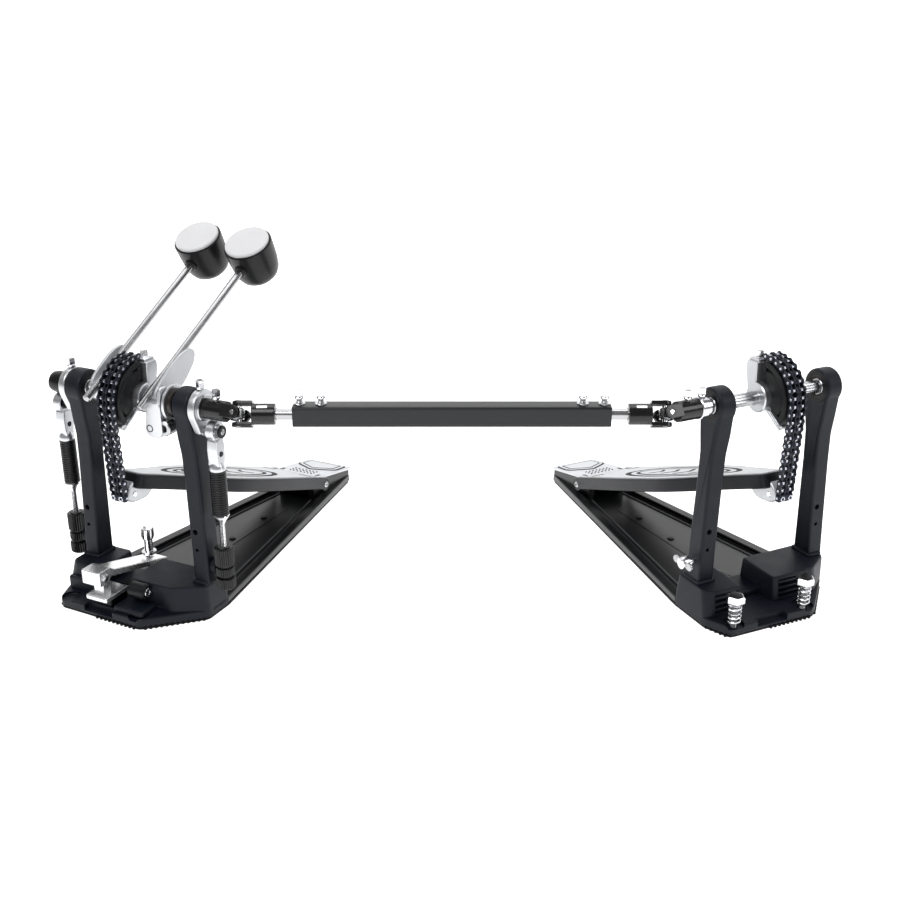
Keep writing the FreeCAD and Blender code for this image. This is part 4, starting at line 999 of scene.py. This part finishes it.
def spring_set(name, side):
    """Return spring from its ribbed nuts at the bottom to the eye on the crank pin."""
    x = side * SPRING_X
    centre = (x, 0, 0)
    spring_low, spring_high = 90, 128
    tension, swivel = name + "_tension", name + "_swivel"
    parts = [(knurl(x, 27, 36, 7.8), SPRING_BLACK), (knurl(x, 38, 45, 7.4), SPRING_BLACK),
             (knurl(x, 47, 62, 7.8), SPRING_BLACK), (rod(5.2, 26, 63, centre=centre), SPRING_BLACK)]
    stem = [(2.0, 60)] + thread(2.4, 2.1, 60.4, 84, 1.2) + [(2.0, 86)]
    cup = [(2.2, 82), (2.8, 83), (4.4, 86), (6.2, 88.6), (6.6, 89.6), (6.2, 90.4), (3, 90.6)]
    parts += [(lathe(stem, centre=centre, sides=20), CHROME), (lathe(cup, centre=centre), CHROME)]
    piece(name + "_tension_rod", parts, PEDAL[1], tension, [name + "_spring_rod"])

    coil = helix(5.55, spring_low, spring_high, 21.5, 0.95, centre)
    core = lathe([(4.3, 92), (4.4, 92.5), (4.4, 125.5), (4.3, 126)], centre=centre)
    thing = to_object(name + "_coil", [(coil, SPRING_BLACK), (core, DARK_COAT)])
    settle(thing, PEDAL[1], 50)
    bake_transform(thing)
    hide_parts(name + "_spring")

    eye = (0, 0, SHAFT_HEIGHT - CRANK_DROP)
    right = [(4.2, 131), (5.4, 138), (5.8, 146), (4.6, 153.6)]
    neck = rounded([(-4.2, 131)] + right + [(-y, z) for y, z in reversed(right[1:])], 1.5, 3)
    collar = [(3, 127.6), (6.2, 127.8), (6.6, 128.8), (6.4, 131), (5.2, 133.2), (4.4, 135)]
    parts = [(ring(5.25, 8.0, x - 3.6, x + 3.6, "X", eye, 0.8), SILVER),
             (slab(neck, x - 4.6, x + 4.6, "X", 1.2), SILVER), (lathe(collar, centre=centre), SILVER),
             (rod(2.2, x - 5.2, x + 5.2, "X", (0, 0, 141.5), 0.4, 20), DARK_COAT)]
    piece(name + "_swivel_eye", parts, PEDAL[1], swivel, [name + "_spring_swivel"])


# ---- drive shaft -----------------------------------------------------------------------------

YOKE_REACH, ROD_HALF_GAP = 10, 131


def fork(centre, direction, root, turn, bore):
    """Universal joint fork: a turned hub and two ears."""
    start, end = sorted((centre - direction * YOKE_REACH, centre - direction * (YOKE_REACH + root)))
    hub = [(4.5, start), (7.4, start), (8.0, start + 0.6), (8.0, end - 0.6), (7.4, end), (4.5, end)]
    parts = [(lathe(hub, "X"), YOKE_BLACK)]
    middle = 0 if direction > 0 else 180
    back = -direction * (YOKE_REACH + 0.6)
    outline = arc(0, 0, 5, middle - 90, middle + 90, 14) + [(back, 5 * direction), (back, -5 * direction)]
    for low, cap_low in ((-9.6, -9.7), (6.5, 9.5)):
        ear = slab(outline, low, low + 3.1, "Z", 0.5)
        cap = ring(bore, 3.9, cap_low, cap_low + 0.4, "Z", edge=0.1)
        for mesh in (ear, cap):
            parts.append((shifted(mesh, moved(centre, 0, 0) @ turned(turn, "X")), YOKE_BLACK))
    return parts


def joints():
    """Yokes on the two shafts, sliding rods with their forks, and the crosses between them."""
    root = JOINT_REACH - YOKE_REACH - 69
    yoke_turn = math.pi / 2 - HALF_TRAVEL
    inner_parts = fork(JOINT_REACH, 1, root, yoke_turn, 2.9)
    piece("main_yoke", inner_parts, SHAFT[1], "inner_axle", ["main_inner_yoke"])
    slave_parts = fork(-JOINT_REACH, -1, root, yoke_turn, 2.9)
    bush = [(4.5, -69.4), (8.2, -69.4), (8.8, -68.8), (8.8, -64), (8.0, -63.4), (8.0, -60.2), (4.5, -60)]
    slave_parts.append((lathe(bush, "X"), CHROME))
    piece("slave_yoke", slave_parts, SHAFT[-1], "slave_axle", ["slave_inner_yoke"])
    for hand, body, low, high in ((1, "drive_line", -132, -78), (-1, "slave_drive", 28, 132)):
        name = WORD[hand]
        centre = -hand * JOINT_X
        parts = fork(centre, -hand, JOINT_X - YOKE_REACH - ROD_HALF_GAP, -HALF_TRAVEL, 2.3)
        parts.append((rod(4.2, low, high, "X"), ROD))
        # Thin chrome strip on the black hub: a painted highlight, the gleam at the yoke's slot.
        glint_low, glint_high = span(hand, 14, 22, centre)
        slot = box((glint_low, -1.1, 7.6), (glint_high, 1.1, 8.35), 0.3)
        parts.append((shifted(slot, turned(0.5, "X")), CHROME))
        piece(name + "_sliding_rod", parts, DRIVE, body, [name + "_drive_rod"])
        place = DRIVE @ moved(centre, 0, 0) @ turned(-HALF_TRAVEL, "X") @ turned(-hand * PEDAL_YAW, "Z")
        cross = [(rod(2.15, -9.7, 9.7), CHROME), (rod(2.15, -9.7, 9.7, "Y"), CHROME),
                 (prism(8, 8.4, -4.2, 4.2, edge=0.8), STEEL)]
        piece(name + "_cross", cross, place, body, [name + "_joint_cross"])


def drive_tube():
    """Square tube with two key bolts near each end."""
    half = 8.0
    outline = rounded([(-half, -half), (half, -half), (half, half), (-half, half)], 2.6, 3)
    tube = slab(outline, -118, 118, "X", 0.6)
    bores = [rod(4.3, -140, 140, "X")]
    piece("square_tube", [(tube, TUBE_COAT)], DRIVE, "drive_line", ["drive_tube"], bores)
    bolts = []
    for x in (-113, -97, 97, 113):
        bolts += key_bolt(x, 0, 3.8, 10.5)
        bolts.append((ring(2.5, 4.4, 7.9, 9.2, centre=(x, 0, 0)), CHROME))
    piece("tube_keys", bolts, DRIVE, "drive_line", ["drive_tube_bolts"])


# ---- hoop clamp, spurs and wing screw ---------------------------------------------------------

CLAMP_X, CLAMP_BOLT_Y = -15, 16


def hoop_clamp():
    """Clamp for the drum's hoop: fixed foot, rocking jaw, pivot knob and the key bolt at the back."""
    frame_at = PEDAL[1]
    bolt = (CLAMP_X, CLAMP_BOLT_Y, 0)
    low, high = CLAMP_X - 9, CLAMP_X + 9
    pedestal = box((low + 2, -42, 8.5), (high - 2, -22, 17.2), 1.5)
    barrel = rod(6.6, high + 11, high + 27, "X", (0, -31.5, 24), 1.4)
    eye = ring(1.6, 3.6, high + 26.6, high + 28, "X", (0, -31.5, 24))
    parts = [(pedestal, DARK_COAT), (barrel, DARK_COAT), (eye, CHROME)]
    piece("clamp_pivot", parts, frame_at, "main_frame", ())
    sole = box((low - 1.5, -51, 17), (high + 1.5, -24, 21), 1.0)
    neck = box((low + 3, -46, 20), (high - 5, -37, 34), 1.0)
    piece("clamp_foot", [(sole, CLAMP), (neck, CLAMP)], frame_at, "main_frame", ["hoop_clamp_foot"])
    arm = [(-54, 32.5), (-44, 32.5), (-41, 36.5), (28, 18.9), (28, 23), (-36, 41), (-41, 44.8), (-54, 44.8)]
    rocker = slab(rounded(arm, 1.4, 3), low, high, "X", 0.6)
    hole = rod(3.4, -10, 60, centre=bolt)
    piece("clamp_rocker", [(rocker, CLAMP)], frame_at, "clamp_jaw", ["hoop_clamp_rocker"], [hole])
    stud = [(0, high + 1.6), (2.2, high + 1.6), (3.2, high + 1.0), (3.4, high - 0.2)]
    piece("clamp_studs", [(lathe(stud, "X", (0, -48, 38.6)), STEEL)], frame_at, "clamp_jaw", ())
    stem = [(2.3, 12.6), (2.4, 30), (6, 30.2), (6, 32), (3.6, 32.6), (3.6, 43), (4.6, 43.6), (4.9, 44.4),
            (4.9, 52), (4.4, 53), (2, 53.2)]
    parts = [(lathe(stem, centre=bolt), CHROME)]
    for angle in (math.pi / 4 * k for k in range(8)):
        at = (CLAMP_X + 4.8 * math.cos(angle), CLAMP_BOLT_Y + 4.8 * math.sin(angle), 0)
        parts.append((rod(0.55, 45, 52.6, centre=at, sides=10), DARK_COAT))
    parts.append((prism(4, 4.6, 52, 54.6, centre=bolt, turn=0.4), CHROME))
    piece("clamp_key", parts, frame_at, "clamp_screw", ["hoop_clamp_bolt"])


def spurs():
    """Pointed floor spurs of the slave pedal, each with a spring and a hexagonal head."""
    stem = [(0, 0.6), (1.2, 1.0), (2.4, 3.0)] + thread(3.1, 2.7, 3.4, 28, 1.4)
    cap = [(0, 33.9), (4.6, 33.9), (5.2, 33.6), (5.4, 33.0)]
    parts = []
    for x in SPUR_X:
        centre = (x, SPUR_Y, 0)
        parts += [(lathe(stem, centre=centre, sides=20), STEEL),
                  (helix(4.7, 9.5, 27.5, 5, 0.9, centre), CHROME),
                  (prism(6, 13, 27.5, 33.4, centre=centre, edge=0.9), CHROME),
                  (lathe(cap, centre=centre), DARK_COAT)]
    piece("spur_set", parts, PEDAL[-1], "slave_frame", ["slave_spurs"])


def wing_screw():
    """Wing screw on the outside of the slave pedal's inner post."""
    centre = (0, 0, 47)
    hub = [(2, -74), (4.6, -73), (5.4, -70), (5.0, -66), (3, -65)]
    parts = [(rod(3.2, -70, -57, "X", centre), CHROME), (lathe(hub, "X", centre), CHROME)]
    for side in (-1, 1):
        wing = [(side * y, z) for y, z in ((2, 45), (10, 43.5), (12.5, 47), (10, 50.5), (2, 49))]
        parts.append((slab(rounded(wing, 2.5, 4), -71.8, -69.8, "X", 0.6), ROD))
    piece("wing_screw", parts, PEDAL[-1], "slave_frame", ())


# ---- assembly --------------------------------------------------------------------------------

for hand in (1, -1):
    rubber_mat(hand)
    base_plate(hand)
    heel_plate(hand)
    casting(hand)
    posts(hand)
    hinge_pin(hand)
    footboard(hand)
    cam(hand)
    chain(hand)
shafts()
key_bolts()
holder("outer", OUTER_X, -1, "main_axle", leaf_length=0.80, ends=(-7.6, 7), reach=1.5)
holder("inner", INNER_X, 1, "inner_axle", leaf_length=0.94, ends=(-6.5, 12.5), reach=-0.5)
inner_bracket("inner_axle")
beater("outer", OUTER_X)
beater("inner", INNER_X)
crank("outer", -1, "main_axle")
crank("inner", 1, "inner_axle")
spring_set("outer", -1)
spring_set("inner", 1)
joints()
drive_tube()
hoop_clamp()
spurs()
wing_screw()


# ---- floor, light and camera -------------------------------------------------------------------

def backdrop():
    """White sheet, in metres, that lies under the object and curves up far behind it."""
    near, bend, radius, top, half = -16.0, 3.0, 2.0, 9.0, 16.0
    section = [(near, 0.0), (bend, 0.0)]
    for k in range(1, 25):
        angle = math.pi / 2 * k / 24
        section.append((bend + radius * math.sin(angle), radius * (1 - math.cos(angle))))
    section.append((bend + radius, top))
    mesh = bmesh.new()
    left = [mesh.verts.new((-half, y, z)) for y, z in section]
    right = [mesh.verts.new((half, y, z)) for y, z in section]
    for i in range(len(section) - 1):
        mesh.faces.new((left[i], right[i], right[i + 1], left[i + 1]))
    paper = shader("studio_paper", (0.90, 0.90, 0.90), 0.8, bump=0.0, mottling=0.005, grain=3.0, specular=0.1)
    surface = paper.node_tree.nodes["Principled BSDF"]
    surface.inputs["Emission Color"].default_value = (1, 1, 1, 1)
    surface.inputs["Emission Strength"].default_value = 0.70
    sheet = to_object("studio_sheet", [(mesh, paper)])
    sheet.data.shade_smooth()


def soft_light(name, position, size, power, aim):
    """Rectangular area light turned towards a point."""
    data = bpy.data.lights.new(name, "AREA")
    data.shape = "RECTANGLE"
    data.size, data.size_y = size
    data.energy = power
    lamp = bpy.data.objects.new(name, data)
    bpy.context.scene.collection.objects.link(lamp)
    lamp.location = position
    lamp.rotation_euler = (Vector(aim) - Vector(position)).to_track_quat("-Z", "Y").to_euler()


def studio():
    """Plain white surroundings with three soft lights."""
    backdrop()
    world = bpy.data.worlds.new("studio_world")
    world.use_nodes = True
    ambient = world.node_tree.nodes["Background"]
    ambient.inputs["Color"].default_value = (1.0, 1.0, 1.0, 1)
    ambient.inputs["Strength"].default_value = 0.22
    bpy.context.scene.world = world
    centre = (CENTRE.x, CENTRE.y, 0.1)
    soft_light("key_light", (-0.8, -1.1, 1.8), (1.4, 0.9), 26, centre)
    soft_light("fill_light", (1.5, -0.8, 1.1), (0.7, 0.9), 9, centre)
    soft_light("top_light", (0.1, 0.5, 2.0), (2.0, 1.0), 18, centre)


def camera():
    """Camera in front of the set, a little above it and looking slightly down."""
    data = bpy.data.cameras.new("camera")
    data.sensor_width = 36
    data.lens = 48.04
    data.clip_start, data.clip_end = 0.05, 30
    eye = bpy.data.objects.new("camera", data)
    bpy.context.scene.collection.objects.link(eye)
    eye.location = (CENTRE.x - 0.0014, CENTRE.y - 0.8825, 0.4831)
    eye.rotation_euler = (math.radians(90 - 21.75), 0, 0)
    bpy.context.scene.camera = eye


studio()
camera()
bpy.context.scene.view_settings.view_transform = "Standard"
